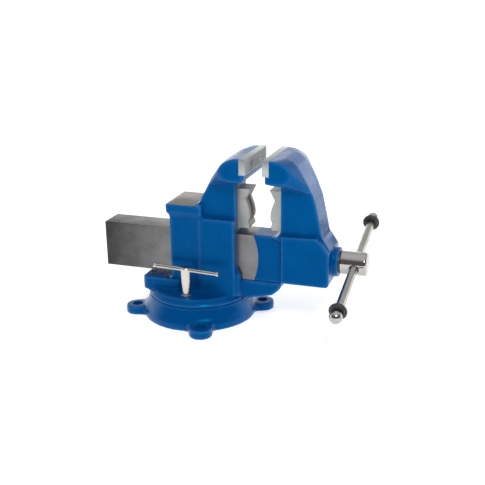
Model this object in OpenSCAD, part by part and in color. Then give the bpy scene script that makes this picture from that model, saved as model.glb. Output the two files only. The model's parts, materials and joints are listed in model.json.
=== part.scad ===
// Combination bench and pipe vise on a swivel base.
// Millimetres, +Z up. The origin is the swivel axis at the base's underside;
// +X runs along the slide towards the handle.

/* [Jaws] */
// Width of the jaws and their steel inserts
jaw_w = 114.3; // [95:0.05:140]
// Gap between the jaw inserts as modelled
jaw_gap = 26; // [10:1:60]
// Widest opening between the jaw inserts
jaw_max = 150; // [120:1:180]
// Height of the jaw tops above the slide
jaw_h = 135; // [112:0.5:165]
// Thickness of a jaw insert
insert_t = 12; // [8:0.5:16]
// Height of a jaw insert
insert_h = 25.5; // [20:0.5:32]
// How far an insert stands proud of the lip below it
insert_proud = 5; // [2:0.5:7]
// Height of the lip below an insert
lip_h = 12; // [8:0.5:16]
// Thickness of the jaw head behind the insert
head_t = 35; // [28:0.5:45]
// Thickness of the two jaw necks
neck_w = 58; // [50:1:66]
// Distance from the swivel axis to the face of the fixed insert
jaw_x = 106.5; // [98:0.1:128]

/* [Jaw screws] */
// Distance between the two screws of an insert
insert_pitch = 52; // [40:1:70]
// Diameter of an insert screw's head
insert_head_d = 10; // [8:0.5:12]
// Depth of an insert screw's head
insert_head_h = 4.5; // [3:0.5:6]
// Diameter of the jaw screws' threads
jaw_screw_d = 6; // [5:0.5:8]
// Length of the jaw screws' threads in the castings
jaw_screw_len = 14; // [10:1:18]

/* [Pipe jaws] */
// Width of the pipe jaws
pipe_w = 32; // [24:1:40]
// Distance from the lip down to the pipe jaws' tops
pipe_drop = 20.5; // [10:0.5:26]
// Depth of a pipe jaw at its upper tip
pipe_tip = 22; // [18:0.5:24]
// Depth of a pipe jaw at the root of its V
pipe_root = 13.5; // [11:0.5:15]
// Depth of a pipe jaw at its lower bulge
pipe_bulge = 21; // [16:0.5:22]
// Distance from the fixed insert's face back to its throat
throat = 28; // [24:0.5:34]
// Distance from the moving insert's face back to its throat
moving_throat = 23.5; // [22:0.5:30]
// Height of the pipe jaws' feet above the slide
pipe_rise = 9; // [7:0.5:14]

/* [Slide] */
// Width of the slide bar
slide_w = 48; // [42:0.5:60]
// Height of the slide bar
slide_h = 80; // [66:0.5:96]
// How far the slide still stands out at the back with the jaws wide open
slide_tail = 5; // [0:1:20]
// Running clearance of the slide in its tunnel
slide_gap = 0.3; // [0.2:0.05:0.6]
// Clearance between the spindle nut and the sides of the slide's hollow
hollow_gap = 1; // [0.5:0.1:2]
// Clearance between the spindle nut and the slide's hollow above and below
hollow_rise = 2; // [1:0.5:4]
// Radius between the slide's top and the moving jaw's throat
throat_r = 15; // [8:0.5:20]

/* [Fixed jaw casting] */
// Wall of the lower body on each side of the slide
body_wall = 14; // [10:0.5:18]
// Distance from the swivel axis to the body's rear face
body_rear = 38; // [34:0.5:44]
// Height of the anvil above the slide
anvil_h = 47; // [36:0.5:56]
// Thickness of the anvil's edge band
anvil_t = 14; // [10:0.5:18]
// How far the anvil overhangs the body
anvil_over = 4; // [1:0.5:5]
// Distance from the swivel axis to where the anvil meets the neck
anvil_front = 6; // [2:0.5:12]
// Height above the slide of the shoulder beside the neck
shoulder_h = 26; // [18:0.5:32]
// Length of the nose under the slide, from the fixed throat
nose_len = 77.5; // [64:0.5:94]
// How far the nose stands out past each side of the slide
nose_side = 3; // [0:0.5:8]
// Length of the rear ledge behind the body
ledge_len = 54; // [40:0.5:60]
// How far the rear ledge stands out past each side of the body
ledge_side = 4; // [0:0.5:8]
// Height of the rear ledge's top under the slide
ledge_drop = 8; // [4:0.5:12]

/* [Moving jaw casting] */
// Distance from the moving insert's face to the lower body's front face
front_x = 107; // [89:0.5:129]
// Wall of the moving jaw's lower body on each side of the slide
front_side = 14; // [10:0.5:18]
// Thickness of the moving jaw's front wall round the spindle
front_wall_t = 26; // [20:0.5:32]
// Clearance under the moving jaw's lower body, above the slide's underside
belly_rise = 5; // [3:0.5:10]
// Wall of the boss round the spindle's journal
boss_wall = 11; // [8:0.5:14]
// Length of the boss around the spindle
boss_len = 11; // [8:0.5:16]

/* [Swivel base] */
// Distance from the T-slot's circle out to the seam of base and turret
seam_out = 26; // [20:0.5:34]
// How far the base's foot stands out past the seam
base_flare = 11; // [3:0.5:14]
// Height of the base
base_h = 38; // [31:0.5:46]
// Clearance between the base and the turret
turret_gap = 0.2; // [0.1:0.05:0.4]
// Thickness of the turret's flange
flange_t = 12; // [10:0.5:16]
// Thickness of the casting between the flange and the slide
floor_t = 26; // [24:0.5:34]
// Distance from the base's foot out to the bolt holes
lug_out = 12; // [12:0.5:24]
// Radius of a lug
lug_r = 20; // [18:0.5:24]
// Height of a lug
lug_h = 14.5; // [12:0.5:20]
// Diameter of the holes in the lugs
lug_hole_d = 18; // [12:0.5:20]
// Number of lugs
lug_count = 4; // [3:1:4]
// Turn of the base against the slide, in degrees
base_turn = 21.4; // [0:0.1:45]
// Distance from the side of the body out to the locks and the T-slot
slot_out = 24; // [20:0.5:30]
// Clearance on each side of the lock bolts in the T-slot's mouth
slot_play = 0.6; // [0.4:0.1:1.5]
// Height of the T-slot's undercut over the bolt heads in it
slot_rise = 1.5; // [1:0.1:3]
// Thickness of the rims over the T-slot
slot_lid = 14; // [10:0.5:16]

/* [Pivot] */
// Diameter of the pivot bolt's shank
pivot_d = 20; // [16:0.5:24]
// Depth of the shoulder between the pivot bolt's shank and its thread
pivot_step = 2; // [1:0.5:3]
// How far the corners of the pivot bolt's head stand out past its shank
pivot_head_out = 7; // [5:0.5:9]

/* [Swivel locks] */
// Diameter of a lock bolt
lock_d = 12; // [10:0.1:14.5]
// Wall of a lock nut at its top
lock_top_wall = 2.75; // [2.25:0.05:4]
// Wall of a lock nut at its foot
lock_foot_wall = 1.25; // [1:0.05:2.5]
// How far a lock bolt's head stands out past its shank
lock_head_out = 5; // [4:0.5:7]
// Height of a lock nut
lock_h = 48; // [40:1:60]
// Diameter of a lock bar
lock_bar_d = 7.6; // [6:0.2:9]
// Length of a lock bar
lock_bar_len = 122; // [100:1:130]
// Turn of the lock bars against the slide, in degrees
lock_turn = -5; // [-8:0.5:8]

/* [Spindle] */
// Diameter of the spindle's thread
screw_d = 25; // [20.5:0.5:30]
// Depth of the shoulder between the spindle's journal and its thread
journal_step = 1.5; // [1:0.5:3]
// Depth of the shoulder between the spindle's head and its journal
head_step = 5.5; // [4:0.5:8]
// Length of the spindle's head
head_len = 44; // [38:0.5:50]
// Thickness of the thrust washer
thrust_t = 2; // [1.5:0.5:4]
// Length of thread still in the nut with the jaws wide open
screw_hold = 16; // [12:1:30]
// Length of the retaining collar
collar_len = 9; // [7:0.5:12]
// Wall of the retaining collar
collar_wall = 3.5; // [3:0.1:3.8]
// Radial clearance of running and screwed fits
fit = 0.05; // [0.02:0.01:0.1]

/* [Spindle nut] */
// Length of the spindle nut
nut_len = 75; // [60:1:90]
// Wall of the nut on each side of the spindle
nut_wall = 3; // [2.5:0.1:5]
// Wall of the nut above and below the spindle
nut_roof = 5.5; // [4:0.1:8]
// Length of the nut's foot
foot_len = 24; // [20:0.5:29]
// Wall of the nut's foot on each side of its bolt
foot_wall = 1.5; // [1.2:0.1:3]
// Diameter of the bolt that holds the nut
nut_bolt_d = 12; // [10:0.1:14.5]

/* [Handle] */
// Diameter of the handle bar
handle_d = 14; // [11.5:0.1:17]
// Distance between the middles of the bumper rings
handle_span = 272; // [226:1:327]
// Wall of the handle's end knobs
knob_wall = 3.5; // [2.5:0.5:5]
// Wall of the rubber bumper rings
bumper_wall = 7.5; // [6.5:0.5:9]
// Thickness of the rubber bumper rings
bumper_t = 9; // [7:0.5:12]
// Tilt of the handle from level, in degrees
handle_tilt = 12.8; // [0:0.1:45]

/* [Hidden] */
$fn = 64;
cut = 1;             // overshoot of cutting solids past a face
hair = 0.02;         // radial clearance of pressed and screwed pieces on one body
skin = 0.6;          // thickness of the slabs that a hull joins

// sizes across the slide
body_half = slide_w / 2 + body_wall;
front_half = slide_w / 2 + front_side;
nose_half = slide_w / 2 + nose_side;
ledge_half = body_half + ledge_side;
slot_r = body_half + slot_out;
seam_r = slot_r + seam_out;
base_r = seam_r + base_flare;
lug_pcd = 2 * (base_r + lug_out);

// diameters that follow the bolts and the spindle
slot_mouth = lock_d + 2 * slot_play;
lock_head_w = lock_d + 2 * lock_head_out;
slot_under = lock_head_w + 2;
lock_top_d = lock_d + 2 * lock_top_wall;
lock_foot_d = lock_d + 2 * lock_foot_wall;
journal_d = screw_d + 2 * journal_step;
head_d = journal_d + 2 * head_step;
boss_r = journal_d / 2 + boss_wall;
collar_d = screw_d + 2 * collar_wall;
nut_half_w = screw_d / 2 + nut_wall;
nut_half_h = screw_d / 2 + nut_roof;
hollow_w = 2 * (nut_half_w + hollow_gap);
hollow_h = 2 * (nut_half_h + hollow_rise);
foot_w = nut_bolt_d + 2 * foot_wall;

// levels
turret_z = base_h + turret_gap;
flange_z = base_h + flange_t;
slide_z = flange_z + floor_t;
slide_top = slide_z + slide_h;
axis_z = slide_z + slide_h / 2;
jaw_z = slide_top + jaw_h;
seat_z = jaw_z - insert_h;
lip_z = seat_z - lip_h;
anvil_z = slide_top + anvil_h;
shoulder_z = slide_top + shoulder_h;
pipe_z = slide_top + pipe_rise;
belly_z = slide_z + belly_rise;
ledge_z = slide_z - ledge_drop;
pipe_h = lip_z - pipe_drop - pipe_z;

// stations along the slide
open_travel = jaw_max - jaw_gap;
fixed_seat = jaw_x - insert_t;
fixed_throat_x = jaw_x - throat;
nose_x = fixed_throat_x + nose_len;
ledge_x = body_rear + ledge_len;
slide_rear = body_rear + open_travel + slide_tail;
moving_x = jaw_x + jaw_gap;
moving_seat = moving_x + insert_t;
moving_throat_x = moving_x + moving_throat;
front_wall_x = moving_x + front_x;
boss_x = front_wall_x + boss_len;
head_x = boss_x + thrust_t;
handle_x = head_x + head_len / 2 + 2;
wall_x = front_wall_x - front_wall_t;

// blue enamel, steels and the rest
enamel = [0.05, 0.25, 0.55];
steel = [0.70, 0.70, 0.70];
bright = [0.85, 0.85, 0.87];
bronze = [0.72, 0.53, 0.25];
rubber = [0.08, 0.08, 0.08];

function arc(cx, cy, r, from, to, steps = 8) =
    [for (i = [0:steps]) let (a = from + (to - from) * i / steps) [cx + r * cos(a), cy + r * sin(a)]];

// Extrudes an X-Z outline over a band of Y
module side_extrude(y0, y1) {
    translate([0, y1, 0]) rotate([90, 0, 0]) linear_extrude(y1 - y0) children();
}

// A box given by its low and high corners
module block(low, high) {
    translate(low) cube(high - low);
}

// A cylinder along X
module rod_x(x0, x1, r, y = 0, z = axis_z) {
    translate([x0, y, z]) rotate([0, 90, 0]) cylinder(h = x1 - x0, r = r);
}

// A hexagon prism along Z, by its width across the corners
module hex(z0, z1, d) {
    translate([0, 0, z0]) cylinder(h = z1 - z0, r = d / 2, $fn = 6);
}

// ---- swivel base ----

lock_head_h = 8.5;
slot_floor = base_h - slot_lid - slot_rise - lock_head_h;
recess_r = slot_r - slot_under / 2 - 12;
recess_h = 11;
shoulder_drop = 7;

module base_section() {
    polygon([[0, 0], [base_r, 0], [base_r, lug_h * 0.7], [seam_r + 1.5, base_h - shoulder_drop], [seam_r, base_h], [0, base_h]]);
}

module lug_outline() {
    flare = lug_r + 13;
    polygon([[seam_r - 12, -flare], [lug_pcd / 2 - 8, -lug_r], [lug_pcd / 2 - 8, lug_r], [seam_r - 12, flare]]);
    translate([lug_pcd / 2, 0]) circle(r = lug_r);
    translate([lug_pcd / 2 - 8, -lug_r]) square([8, 2 * lug_r]);
}

module lugs() {
    for (i = [0:lug_count - 1]) rotate(base_turn + 360 * i / lug_count) linear_extrude(lug_h) lug_outline();
}

module swivel_base() {
    color(enamel) difference() {
        union() {
            rotate_extrude() base_section();
            lugs();
        }
        for (i = [0:lug_count - 1]) rotate(base_turn + 360 * i / lug_count)
            translate([lug_pcd / 2, 0, -cut]) cylinder(h = lug_h + 2 * cut, d = lug_hole_d);
        translate([0, 0, slot_floor]) rotate_extrude() union() {
            translate([slot_r - slot_under / 2, 0]) square([slot_under, base_h - slot_lid - slot_floor]);
            translate([slot_r - slot_mouth / 2, 0]) square([slot_mouth, base_h]);
        }
        rotate(base_turn + 45) translate([slot_r, 0, slot_floor]) cylinder(h = base_h, d = slot_under);
        translate([0, 0, -cut]) cylinder(h = recess_h + cut, r = recess_r);
        translate([0, 0, -cut]) cylinder(h = base_h + 2 * cut, d = pivot_d + 2 * fit);
    }
}

// ---- pivot ----

pivot_head_h = 8;
pivot_washer_t = 3;
pivot_nut_h = 11;
pivot_room = 3.8;
pivot_head_d = pivot_d + 2 * pivot_head_out;
pivot_thread_d = pivot_d - 2 * pivot_step;
pivot_well_d = pivot_head_d + 2;
pivot_shelf = slide_z - pivot_room - pivot_nut_h - pivot_washer_t - turret_gap;

module pivot_bolt() {
    color(steel) union() {
        hex(recess_h - pivot_head_h, recess_h, pivot_head_d);
        translate([0, 0, recess_h]) cylinder(h = pivot_shelf - recess_h, d = pivot_d);
        translate([0, 0, pivot_shelf]) cylinder(h = slide_z - slide_gap - 1 - pivot_shelf, d = pivot_thread_d);
    }
}

module pivot_washer() {
    color(steel) translate([0, 0, pivot_shelf + turret_gap]) difference() {
        cylinder(h = pivot_washer_t, d = pivot_well_d - 3);
        translate([0, 0, -cut]) cylinder(h = pivot_washer_t + 2 * cut, d = pivot_thread_d + 2 * hair);
    }
}

module pivot_nut() {
    foot = pivot_shelf + turret_gap + pivot_washer_t;
    color(steel) difference() {
        hex(foot, foot + pivot_nut_h, pivot_well_d - 8);
        translate([0, 0, foot - cut]) cylinder(h = pivot_nut_h + 2 * cut, d = pivot_thread_d + 2 * hair);
    }
}

// ---- fixed jaw ----

lock_boss_h = 2;
lock_boss_r = lock_foot_d / 2 + 3.75;
foot_x = pivot_well_d / 2 + 3;
nut_front = foot_x + foot_len;
foot_seat = slide_z - 10;
nut_head_z = turret_z + 3;
nut_head_h = 7;
pipe_screw_z = pipe_z + pipe_h * 0.54;

module turret_section() {
    polygon([[0, turret_z], [seam_r, turret_z], [seam_r, turret_z + 3.5], [seam_r - 8, flange_z], [0, flange_z]]);
}

// Points behind the seat, at distances back from it and heights under the jaw's top
function back(seat, way, pts) = [for (p = pts) [seat + way * p[0], jaw_z - p[1]]];

// The head's end: its crown, its round back and its underside
module head_outline(seat, way) {
    low = insert_h + lip_h;
    polygon(concat(back(seat, way, [[0, 0], [head_t - 25, 0.3], [head_t - 17.5, 3], [head_t - 10, 6.5],
        [head_t - 4, 11], [head_t - 0.8, 16], [head_t, low - 17], [head_t - 1.4, low - 11], [head_t - 5, low - 5.5],
        [head_t - 11, low - 1.5], [head_t - 20, low + 0.5]]),
        [[seat - way * (insert_t - insert_proud), lip_z], [seat - way * (insert_t - insert_proud), seat_z]]));
}

// Hulls the head's end to the neck, so that the head flares out of it on both sides
module head_flare(seat, way) {
    for (side = [-1, 1]) hull() {
        side_extrude(side * (jaw_w - skin) / 2 - skin / 2, side * (jaw_w - skin) / 2 + skin / 2)
            head_outline(seat, way);
        side_extrude(side * (neck_w / 2 - skin) - skin, side * (neck_w / 2 - skin) + skin) children();
    }
}

function between(a, b, share) = a + (b - a) * share;

// The neck's back below the crown of the head, at distances back from the seat and heights under the jaw's top
fixed_crown = [[0, 0], [head_t - 19.5, 0], [head_t - 8.5, 4.5], [head_t + 2.5, 14], [head_t + 12.5, 27], [head_t + 23.5, 43]];
anvil_fillet = 12;

module fixed_root_outline() {
    polygon(concat(back(fixed_seat, -1, concat(fixed_crown, [[head_t + 28.5, 54]])),
        [[fixed_throat_x, jaw_z - 45], [jaw_x - insert_proud, lip_z], [jaw_x - insert_proud, seat_z]]));
}

module fixed_neck_outline() {
    crown_x = fixed_seat - head_t - 23.5;
    polygon(concat(back(fixed_seat, -1, fixed_crown),
        [[between(crown_x, anvil_front + anvil_fillet, 0.56), between(jaw_z - 43, anvil_z + anvil_fillet, 0.58)]],
        arc(anvil_front, anvil_z + anvil_fillet, anvil_fillet, 0, -90, 6),
        [[anvil_front - 4, slide_top], [fixed_throat_x, slide_top], [fixed_throat_x, lip_z - 6],
        [jaw_x - insert_proud, lip_z], [jaw_x - insert_proud, seat_z]]));
}

module nose_outline() {
    top = slide_z - slide_gap;
    polygon([[0, turret_z + 2], [nose_x - 56, turret_z + 5], [nose_x - 16, turret_z + 14], [nose_x - 4, top - 13],
        [nose_x, top - 6], [nose_x - 1, top], [0, top]]);
}

module rounded_plan(x0, x1, half, r) {
    translate([x0 + r, 0]) union() {
        translate([-r, r - half]) square([x1 - x0, 2 * (half - r)]);
        translate([0, -half]) square([x1 - x0 - 2 * r, 2 * half]);
        for (x = [0, x1 - x0 - 2 * r], y = [-1, 1]) translate([x, y * (half - r)]) circle(r = r);
    }
}

pilaster_r = 9;
pilaster_h = 38;
pilaster_tip = 12;
anvil_cove = 7;
ledge_lift = 6;
bury = 2;            // how deep one part of a casting runs into the next

module anvil_plan() {
    rounded_plan(-body_rear - anvil_over, anvil_front + 16, body_half + anvil_over, 2.5);
}

module fixed_casting() {
    rotate_extrude() turret_section();
    translate([0, 0, flange_z - bury]) linear_extrude(anvil_z - anvil_t - 4 - flange_z + bury)
        rounded_plan(-body_rear, anvil_front + 18, body_half, 3);
    translate([0, 0, anvil_z - anvil_t]) linear_extrude(anvil_t) anvil_plan();
    hull() {
        translate([0, 0, anvil_z - anvil_t]) linear_extrude(skin) anvil_plan();
        translate([0, 0, anvil_z - anvil_t - anvil_cove]) linear_extrude(skin)
            rounded_plan(-body_rear, anvil_front + 16, body_half, 3);
    }
    translate([0, 0, flange_z - bury]) linear_extrude(shoulder_z - flange_z + bury)
        rounded_plan(anvil_front + 10, fixed_throat_x, body_half + 1, 6);
    side_extrude(-neck_w / 2, neck_w / 2) fixed_neck_outline();
    head_flare(fixed_seat, -1) fixed_root_outline();
    side_extrude(-nose_half, nose_half) nose_outline();
    for (side = [-1, 1]) translate([fixed_throat_x - 1, side * (body_half - pilaster_r), flange_z - bury]) {
        cylinder(h = pilaster_h, r = pilaster_r);
        translate([0, 0, pilaster_h]) cylinder(h = pilaster_tip, r1 = pilaster_r, r2 = pilaster_r / 3);
    }
    translate([0, 0, turret_z + ledge_lift]) linear_extrude(ledge_z - turret_z - ledge_lift)
        rounded_plan(-ledge_x, -body_rear + 20, ledge_half, 10);
    for (side = [-1, 1]) translate([0, side * slot_r, flange_z - 1])
        cylinder(h = 1 + lock_boss_h, r = lock_boss_r);
}

module fixed_jaw() {
    tunnel = slide_w / 2 + slide_gap;
    color(enamel) difference() {
        fixed_casting();
        block([-ledge_x - cut, -tunnel, slide_z - slide_gap], [nose_x + cut, tunnel, slide_top + slide_gap]);
        insert_seat(fixed_seat, 1);
        insert_taps(fixed_seat, -1);
        pipe_seat(fixed_throat_x, 1);
        rod_x(fixed_throat_x - jaw_screw_len - 2, fixed_throat_x + cut, jaw_screw_d / 2 + hair, 0, pipe_screw_z);
        block([foot_x - hair, -foot_w / 2 - hair, foot_seat], [nut_front + hair, foot_w / 2 + hair, slide_z]);
        translate([foot_x + foot_len / 2, 0, 0]) {
            translate([0, 0, turret_z - cut]) cylinder(h = foot_seat, d = nut_bolt_d + 2 * hair);
            translate([0, 0, turret_z - cut]) cylinder(h = nut_head_z + nut_head_h - turret_z + cut, d = nut_bolt_d * 2);
        }
        translate([0, 0, turret_z - cut]) cylinder(h = slide_z, d = pivot_d + 2 * fit);
        translate([0, 0, pivot_shelf]) cylinder(h = slide_z - pivot_shelf, d = pivot_well_d);
        for (side = [-1, 1]) translate([0, side * slot_r, turret_z - cut])
            cylinder(h = flange_t + lock_boss_h + 2 * cut, d = lock_d + 1);
    }
}

// Room for an insert, with open space in front of it
module insert_seat(seat, way) {
    front = seat + way * (insert_t + 20);
    block([min(seat, front), -jaw_w / 2 - cut, seat_z], [max(seat, front), jaw_w / 2 + cut, jaw_z + cut]);
}

module insert_taps(seat, way) {
    deep = seat + way * (jaw_screw_len + 2);
    for (side = [-1, 1])
        rod_x(min(seat, deep) - (way > 0 ? cut : 0), max(seat, deep) + (way > 0 ? 0 : cut), jaw_screw_d / 2 + hair,
            side * insert_pitch / 2, seat_z + insert_h / 2);
}

module jaw_insert(seat, way) {
    face = seat + way * insert_t;
    color(steel) difference() {
        block([min(seat, face), -jaw_w / 2, seat_z], [max(seat, face), jaw_w / 2, jaw_z]);
        for (side = [-1, 1]) {
            rod_x(min(seat, face) - cut, max(seat, face) + cut, jaw_screw_d / 2 + 0.3,
                side * insert_pitch / 2, seat_z + insert_h / 2);
            rod_x(way > 0 ? face - insert_head_h - 1 : face - cut, way > 0 ? face + cut : face + insert_head_h + 1,
                insert_head_d / 2 + 0.3, side * insert_pitch / 2, seat_z + insert_h / 2);
        }
    }
}

// A socket screw along X: its head bears on the plane x, and its thread runs the other way
module jaw_screw(x, way, len, y, z) {
    color(steel) difference() {
        union() {
            rod_x(way > 0 ? x : x - insert_head_h, way > 0 ? x + insert_head_h : x, insert_head_d / 2, y, z);
            rod_x(way > 0 ? x - len : x - 0.01, way > 0 ? x + 0.01 : x + len, jaw_screw_d / 2, y, z);
        }
        translate([way > 0 ? x + insert_head_h - 2.5 : x - insert_head_h - cut, y, z]) rotate([0, 90, 0])
            cylinder(h = 2.5 + cut, r = jaw_screw_d * 0.48, $fn = 6);
    }
}

module insert_screws(seat, way) {
    bearing = seat + way * (insert_t - insert_head_h - 1);
    for (side = [-1, 1])
        jaw_screw(bearing, way, insert_t - insert_head_h - 1 + jaw_screw_len, side * insert_pitch / 2,
            seat_z + insert_h / 2);
}

module fixed_insert() {
    jaw_insert(fixed_seat, 1);
}

module fixed_insert_screws() {
    insert_screws(fixed_seat, 1);
}

// ---- pipe jaws: a V over a round bulge, standing off the throat at x ----

pipe_well = 6;

// The side outline: a tip, a V, a round bulge and a lip at the foot
module pipe_outline(x, way) {
    v_z = pipe_h * 0.74;
    bulge_z = pipe_h * 0.31;
    polygon([for (p = concat(
        [[0, 0], [0, pipe_h], [pipe_tip, pipe_h], [pipe_root, v_z]],
        [for (i = [1:9]) [between(pipe_root, pipe_bulge, sin(i * 10)), between(v_z, bulge_z, i / 9)]],
        [[pipe_bulge - 0.6, bulge_z * 0.78], [pipe_bulge - 2.4, bulge_z * 0.62], [pipe_bulge - 2.8, bulge_z * 0.5],
        [pipe_bulge - 2.2, bulge_z * 0.4], [pipe_bulge - 0.8, bulge_z * 0.3], [pipe_bulge - 0.5, bulge_z * 0.18],
        [pipe_bulge - 1, bulge_z * 0.06], [pipe_bulge - 2, 0]])) [x + way * p[0], pipe_z + p[1]]]);
}

module pipe_jaw(x, way) {
    color(steel) difference() {
        side_extrude(-pipe_w / 2, pipe_w / 2) pipe_outline(x, way);
        rod_x(min(x - way, x + way * pipe_tip * 2), max(x - way, x + way * pipe_tip * 2), jaw_screw_d / 2 + 0.3, 0,
            pipe_screw_z);
        rod_x(min(x + way * pipe_well, x + way * pipe_tip * 2), max(x + way * pipe_well, x + way * pipe_tip * 2),
            insert_head_d / 2 + 0.3, 0, pipe_screw_z);
    }
}

// Room for a pipe jaw in front of the throat
module pipe_seat(x, way) {
    front = x + way * (pipe_tip + 2);
    block([min(x, front), -pipe_w / 2 - slide_gap, pipe_z], [max(x, front), pipe_w / 2 + slide_gap, pipe_z + pipe_h]);
}

module fixed_pipe_jaw() {
    pipe_jaw(fixed_throat_x, 1);
}

module fixed_pipe_jaw_screw() {
    jaw_screw(fixed_throat_x + pipe_well, 1, pipe_well + jaw_screw_len, 0, pipe_screw_z);
}

// ---- moving jaw with its hollow slide ----

// The spine below the crown of the head, at distances back from the seat and heights under the jaw's top
moving_crown = [[0, 0], [head_t - 17, 0.5], [head_t - 5, 4], [head_t + 4, 12], [head_t + 12, 25], [head_t + 23, 44]];

// A point of the spine on its way from the crown's end to the boss, by its shares of that way along X and Z
function spine(share_x, share_z) =
    [between(moving_seat + head_t + 23, front_wall_x, share_x), between(jaw_z - 44, slide_top, share_z)];

module moving_root_outline() {
    polygon(concat(back(moving_seat, 1, moving_crown), [spine(0.135, 0.13)],
        [[moving_throat_x, jaw_z - 46], [moving_x + insert_proud, lip_z], [moving_x + insert_proud, seat_z]]));
}

module moving_neck_outline() {
    polygon(concat(back(moving_seat, 1, moving_crown), [spine(0.265, 0.25), spine(0.46, 0.6), spine(0.63, 0.93)],
        [[front_wall_x, axis_z + boss_r], [front_wall_x, axis_z], [moving_throat_x, axis_z],
        [moving_throat_x, slide_top - throat_r / 2], [moving_throat_x - throat_r, slide_top]],
        arc(moving_throat_x - throat_r, slide_top + throat_r, throat_r, -90, 0, 8),
        [[moving_throat_x, lip_z - 6], [moving_x + insert_proud, lip_z], [moving_x + insert_proud, seat_z]]));
}

module lower_body_outline() {
    polygon([[moving_throat_x + 3, belly_z], [front_wall_x - 3, belly_z], [front_wall_x, belly_z + 4],
        [front_wall_x, axis_z + boss_r - 4], [front_wall_x - 12, between(axis_z + boss_r - 4, slide_top + 8, 0.67)],
        [front_wall_x - 22, slide_top + 8], [moving_throat_x + 3, slide_top + 6]]);
}

module moving_casting() {
    block([-slide_rear, -slide_w / 2, slide_z], [moving_throat_x + 10, slide_w / 2, slide_top]);
    side_extrude(-slide_w / 2, slide_w / 2) polygon(concat([[moving_throat_x - throat_r, slide_top - 1]],
        arc(moving_throat_x - throat_r, slide_top + throat_r, throat_r, -90, 0, 8),
        [[moving_throat_x + 6, slide_top + throat_r], [moving_throat_x + 6, slide_top - 1]]));
    side_extrude(-front_half, front_half) lower_body_outline();
    side_extrude(-neck_w / 2, neck_w / 2) moving_neck_outline();
    head_flare(moving_seat, 1) moving_root_outline();
    rod_x(front_wall_x - 20, boss_x, boss_r);
}

module moving_jaw() {
    color(enamel) difference() {
        moving_casting();
        insert_seat(moving_seat, -1);
        insert_taps(moving_seat, 1);
        pipe_seat(moving_throat_x, -1);
        rod_x(moving_throat_x - cut, moving_throat_x + jaw_screw_len + 2, jaw_screw_d / 2 + hair, 0, pipe_screw_z);
        block([-slide_rear - cut, -hollow_w / 2, axis_z - hollow_h / 2], [wall_x, hollow_w / 2, axis_z + hollow_h / 2]);
        block([-slide_rear - cut, -foot_w / 2 - 1, slide_z - cut], [nut_front + jaw_gap + 4, foot_w / 2 + 1, axis_z]);
        rod_x(wall_x - cut, boss_x + cut, journal_d / 2 + fit);
    }
}

module moving_insert() {
    jaw_insert(moving_seat, -1);
}

module moving_insert_screws() {
    insert_screws(moving_seat, -1);
}

module moving_pipe_jaw() {
    pipe_jaw(moving_throat_x, -1);
}

module moving_pipe_jaw_screw() {
    jaw_screw(moving_throat_x - pipe_well, -1, pipe_well + jaw_screw_len, 0, pipe_screw_z);
}

// ---- spindle and its nut ----

collar_x = wall_x - slide_gap - collar_len;
collar_pin_d = 4;
screw_rear = open_travel + screw_hold - nut_front;
screw_chamfer = 4;
head_chamfer = 2;

module spindle() {
    color(bright) difference() {
        union() {
            rod_x(-screw_rear, wall_x + cut, screw_d / 2);
            translate([-screw_rear, 0, axis_z]) rotate([0, -90, 0])
                cylinder(h = screw_chamfer, r1 = screw_d / 2, r2 = screw_d / 2 - screw_chamfer);
            rod_x(wall_x, head_x, journal_d / 2);
            rod_x(head_x, head_x + head_len - head_chamfer, head_d / 2);
            translate([head_x + head_len - head_chamfer, 0, axis_z]) rotate([0, 90, 0])
                cylinder(h = head_chamfer, r1 = head_d / 2, r2 = head_d / 2 - head_chamfer);
        }
        on_handle() translate([0, 0, -head_d]) cylinder(h = 2 * head_d, d = handle_d + 2 * fit);
        translate([collar_x + collar_len / 2, 0, axis_z - screw_d]) cylinder(h = 2 * screw_d, d = collar_pin_d + 2 * hair);
    }
}

module thrust_washer() {
    color(bronze) difference() {
        rod_x(boss_x, head_x, head_d / 2 - 1);
        rod_x(boss_x - cut, head_x + cut, journal_d / 2 + hair);
    }
}

module retaining_collar() {
    color(steel) difference() {
        rod_x(collar_x, collar_x + collar_len, collar_d / 2);
        rod_x(collar_x - cut, collar_x + collar_len + cut, screw_d / 2 + hair);
        translate([collar_x + collar_len / 2, 0, axis_z - collar_d])
            cylinder(h = 2 * collar_d, d = collar_pin_d + 2 * hair);
    }
}

module collar_pin() {
    color(steel) translate([collar_x + collar_len / 2, 0, axis_z - collar_d / 2 + 0.5])
        cylinder(h = collar_d - 1, d = collar_pin_d);
}

module spindle_nut() {
    color(bronze) difference() {
        union() {
            block([nut_front - nut_len, -nut_half_w, axis_z - nut_half_h], [nut_front, nut_half_w, axis_z + nut_half_h]);
            block([foot_x, -foot_w / 2, foot_seat], [nut_front, foot_w / 2, axis_z]);
        }
        rod_x(nut_front - nut_len - cut, nut_front + cut, screw_d / 2 + fit);
        translate([foot_x + foot_len / 2, 0, foot_seat - cut]) cylinder(h = 15, d = nut_bolt_d + 2 * hair);
    }
}

module spindle_nut_bolt() {
    color(steel) translate([foot_x + foot_len / 2, 0, 0]) union() {
        hex(nut_head_z, nut_head_z + nut_head_h, nut_bolt_d * 1.75);
        translate([0, 0, nut_head_z + nut_head_h])
            cylinder(h = foot_seat + 12 - nut_head_z - nut_head_h, d = nut_bolt_d);
    }
}

// ---- handle ----

knob_x = handle_span / 2 + bumper_t / 2;
knob_d = handle_d + 2 * knob_wall;
bumper_d = handle_d + 2 * bumper_wall;
knob_socket = 8;

// Places its children on the handle's axis, with their +Z towards the handle's far, upper end
module on_handle() {
    translate([handle_x, 0, axis_z]) rotate([handle_tilt - 90, 0, 0]) children();
}

module handle_bar() {
    color(bright) on_handle() translate([0, 0, -knob_x - knob_socket]) cylinder(h = 2 * (knob_x + knob_socket), d = handle_d);
}

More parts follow.
